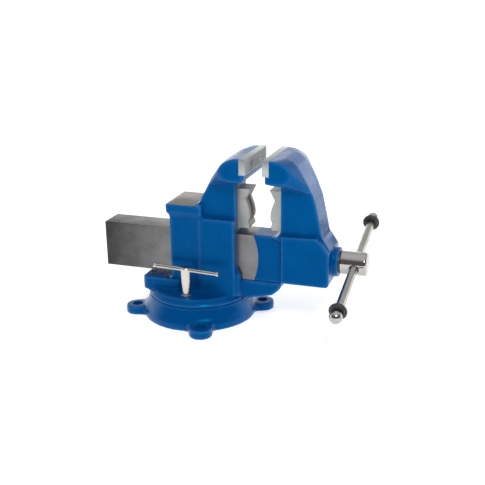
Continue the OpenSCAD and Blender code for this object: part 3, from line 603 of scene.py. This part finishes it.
def fixed_casting():
    anvil_low, anvil_high = cad_reach("fixed_jaw", lambda x, y, z: (x < -20 * MM) & (z > 190 * MM))
    anvil_z, anvil_half = anvil_high[2], anvil_high[1]
    floor_z = base_seam + 0.2 * MM
    foot_x = 33 * MM  # the bolt of the nut's foot
    tunnel_half, tunnel_low, tunnel_high = 24.3 * MM, 75.7 * MM, 156.3 * MM
    lock_sides = (-lock_out, lock_out)
    made = cast_copy(["fixed_jaw"], "fixed_jaw_casting", 1.6 * MM, [
        box_tool((-38 * MM, -25 * MM, 70 * MM), (throat_x, 25 * MM, 157 * MM)),
        box_tool((anvil_low[0], -anvil_half, anvil_z - 9 * MM), (6 * MM, anvil_half, anvil_z + 0.8 * MM)),
        box_tool((17 * MM, -40.2 * MM, 50 * MM), (throat_x, 40.2 * MM, 181 * MM)),
        box_tool((seat_x - 3 * MM, -jaw_half, seat_z - 3 * MM), (face_x - 5 * MM, jaw_half, jaw_z)),
        upright(0, 0, floor_z, 72 * MM, 20 * MM),
        upright(foot_x, 0, floor_z, 72 * MM, 14 * MM),
        *[upright(0, y, floor_z, 52 * MM, 9 * MM) for y in lock_sides],
        *screw_holes((60 * MM, throat_x), (76 * MM, seat_x), screw_fill),
    ])
    soften(made, 4, 16, lambda p: (p[:, 2] < 41.0 * MM) * 1.0)
    mark_corners(made)
    carve(
        made,
        box_tool((-60 * MM, -tunnel_half, tunnel_low), (90 * MM, tunnel_half, tunnel_high)),
        box_tool((-60 * MM, -60 * MM, anvil_z), (9 * MM, 60 * MM, anvil_z + 6 * MM)),
        seam_groove(base_seam - 2 * MM, base_seam + 1.4 * MM),
        box_tool((seat_x, -jaw_half - 1 * MM, seat_z), (face_x + 4 * MM, jaw_half + 1 * MM, jaw_z + 2 * MM)),
        upright(0, 0, 30 * MM, 60 * MM, 10.3 * MM),
        upright(0, 0, 58 * MM, 80 * MM, 18 * MM),
        box_tool((20.9 * MM, -7.6 * MM, 65.9 * MM), (45.1 * MM, 7.6 * MM, 80 * MM)),
        upright(foot_x, 0, 30 * MM, 67 * MM, 6.1 * MM),
        upright(foot_x, 0, 30 * MM, 48.2 * MM, 12 * MM),
        *[upright(0, y, 30 * MM, 60 * MM, 6.5 * MM) for y in lock_sides],
        *screw_holes((62 * MM, throat_x + 2 * MM), (78 * MM, seat_x + 2 * MM), screw_tap, 24),
    )
    dress(made, enamel, milled_iron)

    def machined(middle, normal):
        x, y, z = middle.T
        top = (abs(z - anvil_z) < 0.02 * MM) & (normal[:, 2] > 0.99) & (x < 10 * MM)
        seat = (x > seat_x - 0.2 * MM) & (z > seat_z - 0.2 * MM)
        seam = (z < base_seam + 0.5 * MM)
        inside = (abs(abs(y) - tunnel_half) < 0.1 * MM) & (z > 75 * MM) & (z < 157 * MM)
        bottom = (abs(y) < tunnel_half + 0.1 * MM) & (abs(z - tunnel_low) < 0.1 * MM) & (x < 79 * MM)
        roof = (abs(y) < tunnel_half + 0.1 * MM) & (abs(z - tunnel_high) < 0.1 * MM)
        throat = (abs(x - throat_x) < 0.05 * MM) & (abs(y) < 17 * MM) & (z > 160 * MM)
        return top | seat | seam | inside | bottom | roof | throat

    paint_faces(made, 1, machined)
    return hand_over(made, "turret", "fixed_jaw")


def moving_casting():
    """The moving jaw from where its slide's machining runs out to the spindle's boss."""
    hollow = ((run_out_x, -nut_half, axis_z - nut_tall), (213.5 * MM, nut_half, axis_z + nut_tall))
    made = cast_copy(["moving_jaw"], "moving_jaw_casting", 1.5 * MM, [
        box_tool((60 * MM, -slide_half - proud, slide_low - proud),
                 (moving_throat_x + 4 * MM, slide_half + proud, slide_high + proud)),
        box_tool((60 * MM, -20 * MM, 78 * MM), (232 * MM, 20 * MM, 154 * MM)),
        box_tool((60 * MM, -9 * MM, slide_low), (80 * MM, 9 * MM, 90 * MM)),
        rod_tool((200 * MM, 0, axis_z), (boss_x, 0, axis_z), 18 * MM),
        box_tool((moving_face_x + 5 * MM, -jaw_half, seat_z - 3 * MM), (moving_seat_x + 3 * MM, jaw_half, jaw_z)),
        *screw_holes((moving_throat_x, 175 * MM), (moving_seat_x, 165 * MM), screw_fill),
    ])
    soften(made, 4, 10)
    mark_corners(made)
    carve(
        made,
        box_tool((-200 * MM, -40 * MM, 60 * MM), (run_out_x + 60 * MM, 40 * MM, 170 * MM)),
        rod_tool((run_out_x, -40 * MM, axis_z), (run_out_x, 40 * MM, axis_z), run_out_r, 192),
        box_tool(*hollow),
        box_tool((run_out_x, -slot_half, 70 * MM), (75 * MM, slot_half, axis_z)),
        rod_tool((210 * MM, 0, axis_z), (boss_x + 2 * MM, 0, axis_z), 14.3 * MM, 64),
        box_tool((moving_face_x - 4 * MM, -jaw_half - 1 * MM, seat_z),
                 (moving_seat_x, jaw_half + 1 * MM, jaw_z + 2 * MM)),
        box_tool((moving_throat_x - 26 * MM, -16.3 * MM, 165 * MM), (moving_throat_x, 16.3 * MM, 233 * MM)),
        *screw_holes((moving_throat_x - 2 * MM, 172 * MM), (moving_seat_x - 2 * MM, 160.5 * MM), screw_tap, 24),
    )
    dress(made, enamel, milled_iron)

    def machined(middle, normal):
        x, y, z = middle.T
        seat = (x < moving_seat_x + 0.2 * MM) & (z > seat_z - 0.2 * MM)
        throat = (abs(x - moving_throat_x) < 0.1 * MM) & (abs(y) < 17 * MM) & (z > 160 * MM)
        inside = (abs(y) < 16.6 * MM) & (abs(z - axis_z) < 20.1 * MM) & (x < 215 * MM)
        return seat | throat | inside

    paint_faces(made, 1, machined)
    return hand_over(made, "slide", "moving_jaw")


def slide_bar():
    """The machined bar up to its run-out, hollow for the spindle and slotted below for the nut's foot."""
    reach = run_out_r + 0.6 * MM
    half_turn = math.asin((slide_high - axis_z) / reach)
    arc = [half_turn * (2 * i / 24 - 1) for i in range(25)]
    outline = [(slide_rear, slide_low)]
    outline += [(run_out_x + reach * math.cos(t), axis_z + reach * math.sin(t)) for t in arc]
    outline.append((slide_rear, slide_high))
    bm = bmesh.new()
    sides = [[bm.verts.new((x, y, z)) for x, z in outline] for y in (-slide_half, slide_half)]
    for i in range(len(outline)):
        j = (i + 1) % len(outline)
        bm.faces.new((sides[0][i], sides[0][j], sides[1][j], sides[1][i]))
    for side in sides:
        bm.faces.new(side)
    bmesh.ops.recalc_face_normals(bm, faces=bm.faces)
    rims = [e for e in bm.edges if min(v.co.x for v in e.verts) < slide_rear + MM]
    bmesh.ops.bevel(bm, geom=rims, offset=0.9 * MM, segments=3, profile=0.6, affect="EDGES")
    bmesh.ops.triangulate(bm, faces=[f for f in bm.faces if len(f.verts) > 4])
    made = object_from(bm, "slide_bar")
    carve(made,
          box_tool((slide_rear - 2 * MM, -nut_half, axis_z - nut_tall), (150 * MM, nut_half, axis_z + nut_tall)),
          box_tool((slide_rear - 2 * MM, -slot_half, slide_low - 2 * MM), (75 * MM, slot_half, axis_z)))
    mark_corners(made, 0)
    dress(made, machined_iron, sharp=30)
    return hand_over(made, "slide")


def base_casting():
    """The round base: a pivot bore, a T-slot all round for the lock bolts, its entry pocket and four lugs."""
    made = cast_copy(["swivel_base"], "swivel_base_casting", 1.6 * MM, [
        upright(0, 0, 2 * MM, 36 * MM, 80 * MM, 96),
        upright(0, 0, 0, base_seam, 60 * MM, 96),
        turned_tool([(0, 30 * MM), (80 * MM, 30 * MM), (80 * MM, base_seam), (0, base_seam)], (0, 0, 0), (0, 0, 1), 96),
        *[upright(x, y, 0, 14.5 * MM, 11 * MM) for x, y in lugs],
    ])
    soften(made, 6, 34, lambda p: (p[:, 2] > base_seam - 1.2 * MM) * 1.0)
    mark_corners(made)
    slot = [(55.4 * MM, 24 * MM), (55.4 * MM, 45 * MM), (68.6 * MM, 45 * MM), (68.6 * MM, 24 * MM),
            (74 * MM, 24 * MM), (74 * MM, 14 * MM), (50 * MM, 14 * MM), (50 * MM, 24 * MM)]
    carve(made,
          turned_tool(slot, (0, 0, 0), (0, 0, 1), 96),
          seam_groove(base_seam - 1 * MM, base_seam + 2 * MM),
          upright(0, 0, -5 * MM, 11 * MM, 38 * MM, 64),
          upright(0, 0, -5 * MM, 45 * MM, 10.3 * MM),
          *[upright(x, y, -5 * MM, 20 * MM, 9 * MM) for x, y in lugs])
    for vertex in made.data.vertices:  # none dips under the bench
        vertex.co.z = max(vertex.co.z, 0.0)
    dress(made, enamel, milled_iron)
    paint_faces(made, 1, lambda middle, normal: (middle[:, 2] > base_seam - 0.3 * MM) | (middle[:, 2] < 0.2 * MM))
    return hand_over(made, "base", "swivel_base")


fixed_casting()
moving_casting()
slide_bar()
base_casting()


# ---------------------------------------------------------------- geometry node trees

def grow_group(name, inputs):
    tree = bpy.data.node_groups.new(name, "GeometryNodeTree")
    tree.interface.new_socket("Geometry", in_out="INPUT", socket_type="NodeSocketGeometry")
    for title, kind, value in inputs:
        socket = tree.interface.new_socket(title, in_out="INPUT", socket_type="NodeSocket" + kind)
        if value is not None:
            socket.default_value = value
    tree.interface.new_socket("Finish", in_out="INPUT", socket_type="NodeSocketMaterial")
    tree.interface.new_socket("Geometry", in_out="OUTPUT", socket_type="NodeSocketGeometry")
    return tree, node(tree, "NodeGroupInput").outputs, node(tree, "NodeGroupOutput").inputs


def close_group(tree, given, out, grown):
    """Ends a tree: real geometry in place of instances, with its finish."""
    realised = wired(tree, "GeometryNodeRealizeInstances", {0: grown})
    finished = wired(tree, "GeometryNodeSetMaterial", {"Geometry": realised, "Material": given["Finish"]})
    link(tree, finished, out[0])
    return tree


def joined(tree, *parts):
    made = node(tree, "GeometryNodeJoinGeometry")
    for part in parts:
        link(tree, part, made.inputs[0])
    return made.outputs[0]


def vector_of(tree, x=0.0, y=0.0, z=0.0):
    return wired(tree, "ShaderNodeCombineXYZ", {0: x, 1: y, 2: z})


def moved(tree, geometry, **changes):
    return wired(tree, "GeometryNodeTransform", dict(changes, Geometry=geometry))


def build_serration():
    """Rows of four-sided points on a face that looks along X, left out round the two screw holes."""
    tree, given, out = grow_group("serrated face", [
        ("Columns", "Int", 50), ("Rows", "Int", 11), ("Pitch across", "Float", 2.286 * MM),
        ("Pitch up", "Float", 2.3 * MM), ("Depth", "Float", 1 * MM), ("Way", "Float", 1.0),
        ("Middle", "Vector", (0, 0, 0)), ("Hole offset", "Float", 26 * MM), ("Hole radius", "Float", 6 * MM)])
    sides = {}
    for side, count, pitch in (("Y", "Columns", "Pitch across"), ("X", "Rows", "Pitch up")):
        sides["Size " + side] = calc(tree, "MULTIPLY", calc(tree, "SUBTRACT", given[count], 1), given[pitch])
        sides["Vertices " + side] = given[count]
    grid = wired(tree, "GeometryNodeMeshGrid", sides)
    split = node(tree, "ShaderNodeSeparateXYZ")
    link(tree, node(tree, "GeometryNodeInputPosition").outputs[0], split.inputs[0])
    across = calc(tree, "SUBTRACT", calc(tree, "ABSOLUTE", split.outputs[1]), given["Hole offset"])
    squares = [calc(tree, "POWER", value, 2) for value in (across, split.outputs[0])]
    reach = calc(tree, "SQRT", calc(tree, "ADD", *squares))
    by_hole = calc(tree, "LESS_THAN", reach, given["Hole radius"])
    kept = wired(tree, "GeometryNodeDeleteGeometry", {0: grid, "Selection": by_hole})
    cone = wired(tree, "GeometryNodeMeshCone", {
        "Vertices": 4, "Radius Top": 0.12 * MM, "Depth": given["Depth"],
        "Radius Bottom": calc(tree, "MULTIPLY", given["Pitch across"], math.sqrt(0.5))})
    points = wired(tree, "GeometryNodeInstanceOnPoints", {
        "Points": kept, "Instance": cone, "Rotation": (0, 0, math.radians(45))})
    turn = vector_of(tree, y=calc(tree, "MULTIPLY", given["Way"], math.pi / 2))
    stood = moved(tree, points, Rotation=turn, Translation=given["Middle"])
    return close_group(tree, given, out, joined(tree, given["Geometry"], stood))


def build_teeth():
    """Straight teeth set square across a path, in two runs with a plain strip between them."""
    tree, given, out = grow_group("teeth on a path", [
        ("Teeth", "Int", 16), ("Size", "Float", 1 * MM), ("Run", "Float", 10 * MM), ("Offset", "Float", 11 * MM)])
    spaced = wired(tree, "GeometryNodeResampleCurve", {"Curve": given["Geometry"], "Count": given["Teeth"]})
    bar = wired(tree, "GeometryNodeMeshCube", {"Size": vector_of(tree, given["Size"], given["Run"], given["Size"])})
    square = moved(tree, bar, Rotation=(0, math.radians(45), 0))
    tangent = node(tree, "GeometryNodeInputTangent").outputs[0]
    aim = wired(tree, "FunctionNodeAlignRotationToVector", {"Vector": tangent}, axis="Z", pivot_axis="Y")
    runs = []
    for side in (1, -1):
        row = wired(tree, "GeometryNodeInstanceOnPoints", {"Points": spaced, "Instance": square, "Rotation": aim})
        shift = vector_of(tree, y=calc(tree, "MULTIPLY", given["Offset"], side))
        runs.append(moved(tree, row, Translation=shift))
    return close_group(tree, given, out, joined(tree, *runs))


def build_thread():
    """A trapezoidal thread wound round the X axis, joined to the core that it is given."""
    tree, given, out = grow_group("wound thread", [
        ("Turns", "Float", 60.0), ("Length", "Float", 300 * MM), ("Start", "Float", 0.0),
        ("Height of axis", "Float", 0.0), ("Radius", "Float", 10 * MM), ("Crest", "Float", 12.4 * MM),
        ("Root width", "Float", 3.2 * MM), ("Crest width", "Float", 1.8 * MM), ("Steps", "Int", 30)])
    spiral = wired(tree, "GeometryNodeCurveSpiral", {
        "Resolution": given["Steps"], "Rotations": given["Turns"], "Start Radius": given["Radius"],
        "End Radius": given["Radius"], "Height": given["Length"]})
    steady = wired(tree, "GeometryNodeSetCurveNormal", {"Curve": spiral}, mode="Z_UP")
    height = calc(tree, "MULTIPLY", calc(tree, "SUBTRACT", given["Crest"], given["Radius"]), 2.0)
    outline = wired(tree, "GeometryNodeCurvePrimitiveQuadrilateral", {
        "Bottom Width": given["Root width"], "Top Width": given["Crest width"], "Height": height, "Offset": 0},
        mode="TRAPEZOID")
    outward = moved(tree, outline, Rotation=(0, 0, math.radians(-90)))
    swept = wired(tree, "GeometryNodeCurveToMesh", {"Curve": steady, "Profile Curve": outward, "Fill Caps": True})
    start = vector_of(tree, given["Start"], 0.0, given["Height of axis"])
    laid = moved(tree, swept, Rotation=(0, math.radians(90), 0), Translation=start)
    return close_group(tree, given, out, joined(tree, given["Geometry"], laid))


def build_row():
    """The given piece once for each place in a row across the jaws."""
    tree, given, out = grow_group("row across", [
        ("Count", "Int", 2), ("First", "Float", 0.0), ("Step", "Float", 52 * MM)])
    places = wired(tree, "GeometryNodeMeshLine", {
        "Count": given["Count"], "Start Location": vector_of(tree, y=given["First"]),
        "Offset": vector_of(tree, y=given["Step"])})
    made = wired(tree, "GeometryNodeInstanceOnPoints", {"Points": places, "Instance": given["Geometry"]})
    return close_group(tree, given, out, made)


GROW = {"serration": build_serration(), "teeth": build_teeth(), "thread": build_thread(), "row": build_row()}


def grow(obj, group, finish, **values):
    """Runs a geometry tree on obj and keeps the mesh that comes out."""
    tree = GROW[group]
    ids = {item.name: item.identifier for item in tree.interface.items_tree if item.in_out == "INPUT"}
    run = obj.modifiers.new("grow", "NODES")
    run.node_group = tree
    for name, value in dict(values, Finish=finish).items():
        run[ids[name.replace("_", " ")]] = value
    obj.update_tag()
    made = bpy.data.meshes.new_from_object(obj.evaluated_get(bpy.context.evaluated_depsgraph_get()))
    made.name = obj.name
    if obj.type == "CURVE":
        name = obj.name
        bpy.data.objects.remove(obj)
        obj = bpy.data.objects.new(name, made)
        bpy.context.collection.objects.link(obj)
    else:
        obj.modifiers.clear()
        obj.data = made
    return obj


def add_object(obj, other):
    """Adds other's mesh to obj's; other goes."""
    bm = bmesh.new()
    bm.from_mesh(obj.data)
    bm.from_mesh(other.data)
    bm.to_mesh(obj.data)
    bm.free()
    bpy.data.objects.remove(other)
    return obj


# ---------------------------------------------------------------- jaw inserts

def insert(name, back_x, front_x, body):
    """A ground steel insert: a block with eased edges, two counterbored holes and a serrated face."""
    way = 1 if front_x > back_x else -1
    depth = 0.9 * MM
    valley = front_x - way * depth
    bm = bmesh.new()
    add_box(bm, (min(back_x, valley), -jaw_half, seat_z), (max(back_x, valley), jaw_half, jaw_z))
    bmesh.ops.recalc_face_normals(bm, faces=bm.faces)
    bmesh.ops.bevel(bm, geom=bm.edges[:], offset=0.5 * MM, segments=2, profile=0.6, affect="EDGES")
    made = object_from(bm, name + "_serrated")
    for y in (-screw_y, screw_y):
        seat = back_x + way * 6.5 * MM
        carve(made, lengthwise(seat, front_x + way * MM, y, screw_z, 5.4 * MM, 40),
              lengthwise(back_x - way * MM, seat + way * MM, y, screw_z, 3.3 * MM, 24))
    rim, columns, lines = 1.15 * MM, 48, 10
    made = grow(made, "serration", ground_steel, Columns=columns, Rows=lines,
                Pitch_across=(2 * jaw_half - 2 * rim) / columns, Pitch_up=(jaw_z - seat_z - 2 * rim) / lines,
                Depth=depth + 0.02 * MM, Way=float(way),
                Middle=(valley - way * 0.02 * MM, 0, screw_z), Hole_offset=screw_y, Hole_radius=6.6 * MM)
    mark_corners(made, 0)
    dress(made, ground_steel, sharp=30)
    return hand_over(made, body, name)


insert("fixed_insert", seat_x, face_x, "turret")
insert("moving_insert", moving_seat_x, moving_face_x, "slide")


# ---------------------------------------------------------------- socket screws

def socket_screw(name, seat, way, body, ys, z):
    """Cylinder-head screws with hexagon sockets, head on the seat, looking along way."""
    tip = ends(name, 0)[0 if way > 0 else 1]
    deep = abs(seat - tip)
    cap_r, cap_h, thread_r = 5 * MM, 4.5 * MM, 3 * MM
    cap = curve_round([(0, 0, False), (cap_r, 0, True), (cap_r, cap_h, True), (0, cap_h, False)], 0.5 * MM, 3)
    profile = [(0, -deep), (thread_r - 0.5 * MM, -deep), (thread_r, -deep + 0.6 * MM), (thread_r, 0)] + cap[1:]
    bm = bmesh.new()
    add_turned(bm, profile, (seat, 0, z), (way, 0, 0), 32)
    settle(bm)
    made = object_from(bm, name + "_socket")
    carve(made, lengthwise(seat + way * 1.8 * MM, seat + way * 6 * MM, 0, z, 2.9 * MM, 6))
    step = ys[-1] - ys[0] if len(ys) > 1 else 0.0
    made = grow(made, "row", fastener_steel, Count=len(ys), First=ys[0], Step=step)
    mark_corners(made, 0)
    dress(made, fastener_steel, sharp=35)
    return hand_over(made, body, name)


counterbore = 6.5 * MM
socket_screw("fixed_insert_screws", seat_x + counterbore, 1, "turret", (-screw_y, screw_y), screw_z)
socket_screw("moving_insert_screws", moving_seat_x - counterbore, -1, "slide", (-screw_y, screw_y), screw_z)


# ---------------------------------------------------------------- pipe jaws

def pipe_face():
    """The gripping face from the top tip down: (depth from the throat, height) in metres."""
    tall = pipe_top - pipe_low
    tip, root, bulge, v_z, bulge_z = 22 * MM, 13.5 * MM, 21 * MM, tall * 0.74, tall * 0.31
    face = [(tip, tall), (root, v_z)]
    for i in range(1, 13):
        share = math.sin(math.radians(i * 90 / 12))
        face.append((root + (bulge - root) * share, v_z + (bulge_z - v_z) * i / 12))
    lower = ((0.6, 0.78), (2.4, 0.62), (2.8, 0.5), (2.2, 0.4), (0.8, 0.3), (0.5, 0.18), (1, 0.06), (2, 0))
    return face + [(bulge - back * MM, bulge_z * share) for back, share in lower]


def pipe_jaw(name, throat, way, body):
    """A cast steel pipe jaw: a body with eased sides, a screw slot down its middle and teeth either side."""
    face = pipe_face()
    outline = [(0, 0), (0, pipe_top - pipe_low)] + face
    ease = 0.6 * MM
    bm = bmesh.new()
    layers = []
    for y, shrink in ((-pipe_half, ease), (-pipe_half + ease, 0), (pipe_half - ease, 0), (pipe_half, ease)):
        ring = []
        for d, h in outline:
            drop = max(pipe_low, min(pipe_top, pipe_low + h + (-shrink if h > 30 * MM else 0)))
            ring.append(bm.verts.new((throat + way * (d - shrink if d > 1 * MM else d), y, drop)))
        layers.append(ring)
    for a, b in zip(layers, layers[1:]):
        for i in range(len(a)):
            j = (i + 1) % len(a)
            bm.faces.new((a[i], a[j], b[j], b[i]))
    bm.faces.new(layers[0])
    bm.faces.new(layers[-1])
    bmesh.ops.recalc_face_normals(bm, faces=bm.faces)
    bmesh.ops.triangulate(bm, faces=[f for f in bm.faces if len(f.verts) > 4])
    made = object_from(bm, name + "_toothed")
    slot_x = sorted((throat + way * 12.5 * MM, throat + way * 30 * MM))
    carve(made, lengthwise(throat + way * 6 * MM, throat + way * 30 * MM, 0, pipe_screw_z, 5.4 * MM, 40),
          lengthwise(throat - way * MM, throat + way * 8 * MM, 0, pipe_screw_z, 3.3 * MM, 24),
          box_tool((slot_x[0], -5.4 * MM, pipe_low + 12 * MM), (slot_x[1], 5.4 * MM, pipe_top - 14 * MM)))
    path = bpy.data.curves.new(name + "_path", "CURVE")
    path.dimensions = "3D"
    line = path.splines.new("POLY")
    reach = face[:15]
    line.points.add(len(reach) - 1)
    for point, (d, h) in zip(line.points, reach):
        point.co = (throat + way * (d - 0.25 * MM), 0, pipe_low + h - (1.0 * MM if h > 60 * MM else 0), 1)
    teeth = bpy.data.objects.new(name + "_teeth", path)
    bpy.context.collection.objects.link(teeth)
    teeth = grow(teeth, "teeth", toothed_steel, Teeth=26, Size=1.25 * MM, Run=pipe_half - 7.4 * MM,
                 Offset=(pipe_half + 5.4 * MM) / 2)
    add_object(made, teeth)
    mark_corners(made, 0)
    dress(made, cast_steel, toothed_steel, sharp=30)
    paint_faces(made, 1, lambda middle, normal: (abs(normal[:, 1]) < 0.3) & (way * (middle[:, 0] - throat) > 11 * MM)
                & (middle[:, 2] < pipe_top - 0.2 * MM))
    return hand_over(made, body, name)


pipe_jaw("fixed_pipe_jaw", throat_x, 1, "turret")
pipe_jaw("moving_pipe_jaw", moving_throat_x, -1, "slide")
socket_screw("fixed_pipe_jaw_screw", throat_x + 6 * MM, 1, "turret", (0.0,), pipe_screw_z)
socket_screw("moving_pipe_jaw_screw", moving_throat_x - 6 * MM, -1, "slide", (0.0,), pipe_screw_z)


# ---------------------------------------------------------------- spindle

def turned(name, profile, base, along, finish, body, stands_for=(), steps=64, cutters=(), sharp=35):
    """A whole piece of turning, from its profile to its body."""
    bm = bmesh.new()
    add_turned(bm, profile, base, along, steps)
    settle(bm)
    made = object_from(bm, name)
    if cutters:
        carve(made, *cutters)
    mark_corners(made, 0)
    dress(made, finish, sharp=sharp)
    return hand_over(made, body, *stands_for)


handle_way = Vector(joints["handle_slide"]["axis"]).normalized()
handle_x = sum(ends("handle_bar", 0)) / 2
handle_r = (ends("handle_bar", 0)[1] - ends("handle_bar", 0)[0]) / 2


def spindle():
    """The plated head with its flared cross hole, and the oily thread behind it."""
    axis = (0, 0, axis_z)
    head = curve_round([(0, 213.7 * MM, False), (13.6 * MM, 213.7 * MM, False), (13.95 * MM, 214.3 * MM, False),
                        (13.95 * MM, head_x, False), (head_r - 1 * MM, head_x, False), (head_r, head_x + 1 * MM, True),
                        (head_r, spindle_end - 2.6 * MM, True), (head_r - 2.6 * MM, spindle_end, True),
                        (0, spindle_end, False)], 1.6 * MM, 5)
    bore = handle_r + 0.05 * MM
    mouth = [(0, -25 * MM), (bore + 3.4 * MM, -25 * MM), (bore + 0.9 * MM, -18.2 * MM), (bore, -17 * MM)]
    flare = mouth + [(r, -h) for r, h in reversed(mouth)]
    turned("spindle_head", head, axis, (1, 0, 0), chrome, "screw", ("spindle",), 96,
           (turned_tool(flare, (handle_x, 0, axis_z), handle_way, 48),), 40)
    core = curve_round([(0, spindle_tip, False), (7 * MM, spindle_tip, False), (9.9 * MM, spindle_tip + 3 * MM, True),
                        (9.9 * MM, 203 * MM, False), (12.5 * MM, 204.3 * MM, False), (12.5 * MM, 213.6 * MM, False),
                        (0, 213.6 * MM, False)], 0.8 * MM, 2)
    bm = bmesh.new()
    add_turned(bm, core, axis, (1, 0, 0), 48)
    settle(bm)
    made = object_from(bm, "spindle_thread")
    made = grow(made, "thread", oiled_steel, Turns=59.0, Length=295 * MM, Start=-93 * MM, Height_of_axis=axis_z,
                Radius=9.9 * MM, Crest=12.35 * MM, Steps=30)
    mark_corners(made, 0)
    dress(made, oiled_steel, sharp=35)
    return hand_over(made, "screw")


spindle()


# ---------------------------------------------------------------- handle

def handle():
    """The sliding bar with a rubber ring and a ball knob at each end; distances are from its middle."""
    middle = Vector((handle_x, 0, axis_z))
    half = 148.5 * MM
    bar = [(0, -half, False), (handle_r, -half, True), (handle_r, half, True), (0, half, False)]
    turned("handle_bar_round", curve_round(bar, 1 * MM), middle, handle_way, handle_steel, "handle",
           ("handle_bar",), 48)
    ring_r, ring_at, ring_thick = 10.0 * MM, 136 * MM, 4.5 * MM
    ring = [(ring_r + ring_thick * math.cos(t), ring_at + ring_thick * math.sin(t))
            for t in (math.radians(a) for a in range(-135, 136, 15))]
    ring = [(handle_r, ring[0][1] + 1 * MM)] + ring + [(handle_r, ring[-1][1] - 1 * MM)]
    ball_r, ball_at = 10.48 * MM, 151 * MM  # just inside the CAD's flat-sided ball
    neck = [(0, 140.6 * MM), (8.0 * MM, 140.6 * MM), (8.5 * MM, 141.1 * MM), (8.5 * MM, 143.4 * MM)]
    start = math.asin(-6.6 / 10.5)
    turns = [start + (math.pi / 2 - start) * i / 18 for i in range(1, 18)]
    ball = neck + [(ball_r * math.cos(t), ball_at + ball_r * math.sin(t)) for t in turns] + [(0, ball_at + ball_r)]
    for side, suffix in ((-1, "near"), (1, "far")):
        way = handle_way * side
        turned("rubber_ring_" + suffix, ring, middle, way, rubber, "handle", ("bumper_" + suffix,), 64)
        turned("ball_knob_" + suffix, ball, middle, way, chrome, "handle", ("handle_knob_" + suffix,), 64)


handle()


# ---------------------------------------------------------------- swivel locks

def lock(suffix, y, body, bar_body):
    """A tapered lock nut and the T-bar that slides through it."""
    low, high = ends("lock_nut_" + suffix, 2)
    way = Vector(joints["lock_bar_slide_" + suffix]["axis"]).normalized()
    at = Vector((0, y, sum(ends("lock_bar_" + suffix, 2)) / 2))
    bar_r = 3.8 * MM
    tall = high - low
    sleeve = curve_round([(0, 0, False), (7.25 * MM, 0, True), (7.3 * MM, tall * 0.12, False),
                          (8.7 * MM, tall * 0.75, False), (8.7 * MM, tall - 1.8 * MM, True),
                          (7.0 * MM, tall, True), (0, tall, False)], 1.6 * MM, 5)
    turned("lock_sleeve_" + suffix, sleeve, (0, y, low), (0, 0, 1), nickel, body, ("lock_nut_" + suffix,), 64, (
        upright(0, y, low - 1 * MM, low + tall * 0.6, 5.2 * MM, 32),
        rod_tool(at - way * 20 * MM, at + way * 20 * MM, bar_r + 0.1 * MM, 32)))
    half, collar = 61 * MM, 4.6 * MM
    profile = [(0, -half, False), (collar - 0.9 * MM, -half, True), (collar, -half + 1 * MM, True),
               (collar, -half + 3.6 * MM, True), (bar_r, -half + 4.4 * MM, False)]
    profile += [(r, -h, round_it) for r, h, round_it in reversed(profile)]
    turned("lock_tommy_" + suffix, curve_round(profile, 0.8 * MM, 3), at, way, bar_steel, bar_body,
           ("lock_bar_" + suffix,), 40)


lock("near", -lock_out, "lock_near", "lock_handle_near")
lock("far", lock_out, "lock_far", "lock_handle_far")


# ---------------------------------------------------------------- pieces that keep their CAD shape

inner = {name: fastener_steel for name in (
    "pivot_bolt", "pivot_washer", "pivot_nut", "spindle_nut_bolt", "lock_bolts", "lock_washers", "collar_pin")}
inner.update(spindle_nut=cast_steel, thrust_washer=bronze, retaining_collar=oiled_steel)
for name, finish in inner.items():
    part = frame["nodes"][name]
    part.data.materials.clear()
    part.data.materials.append(finish)


# ---------------------------------------------------------------- floor, sky and lamp

def studio():
    """A pale floor, a sky that is bright behind and overhead, and one soft lamp."""
    ground = finish_base("studio floor", Base_Color=(0.93, 0.93, 0.93, 1), Roughness=0.9, Specular_IOR_Level=0.0,
                         Emission_Color=(1, 1, 1, 1), Emission_Strength=0.5)[0]
    bm = bmesh.new()
    add_box(bm, (-30, -12, -0.05), (30, 60, 0))
    bmesh.ops.recalc_face_normals(bm, faces=bm.faces)
    floor = object_from(bm, "floor")
    floor.data.materials.append(ground)

    world = bpy.data.worlds.new("studio sky")
    world.use_nodes = True
    tree = world.node_tree
    where = node(tree, "ShaderNodeTexCoord").outputs["Generated"]
    split = node(tree, "ShaderNodeSeparateXYZ")
    link(tree, where, split.inputs[0])
    behind = stretch(tree, calc(tree, "MULTIPLY_ADD", split.outputs[0], -0.25, split.outputs[1]), -0.25, 0.25)
    above = stretch(tree, split.outputs[2], 0.6, 0.9)
    low = calc(tree, "MULTIPLY", behind, stretch(tree, split.outputs[2], 0.0, 0.4, 2.2, 0.5))
    smooth = calc(tree, "ADD", calc(tree, "MAXIMUM", low, calc(tree, "MULTIPLY", above, 0.65)), 0.15)
    backdrop = tree.nodes["Background"]
    grey = node(tree, "ShaderNodeCombineColor")
    for socket in grey.inputs:
        link(tree, smooth, socket)
    link(tree, grey.outputs[0], backdrop.inputs["Color"])
    backdrop.inputs["Strength"].default_value = 1.0
    bpy.context.scene.world = world

    lamp = bpy.data.lights.new("key", "AREA")
    lamp.shape, lamp.size, lamp.size_y, lamp.energy = "RECTANGLE", 0.55, 0.55, 21
    key = bpy.data.objects.new("key", lamp)
    spot, target = Vector((0.9, -1.5, 1.7)), Vector((0.05, 0, 0.12))
    key.matrix_world = Matrix.Translation(spot) @ (spot - target).to_track_quat("Z", "Y").to_matrix().to_4x4()
    bpy.context.collection.objects.link(key)


studio()
bpy.context.scene.view_settings.view_transform = "Standard"
bpy.context.view_layer.update()
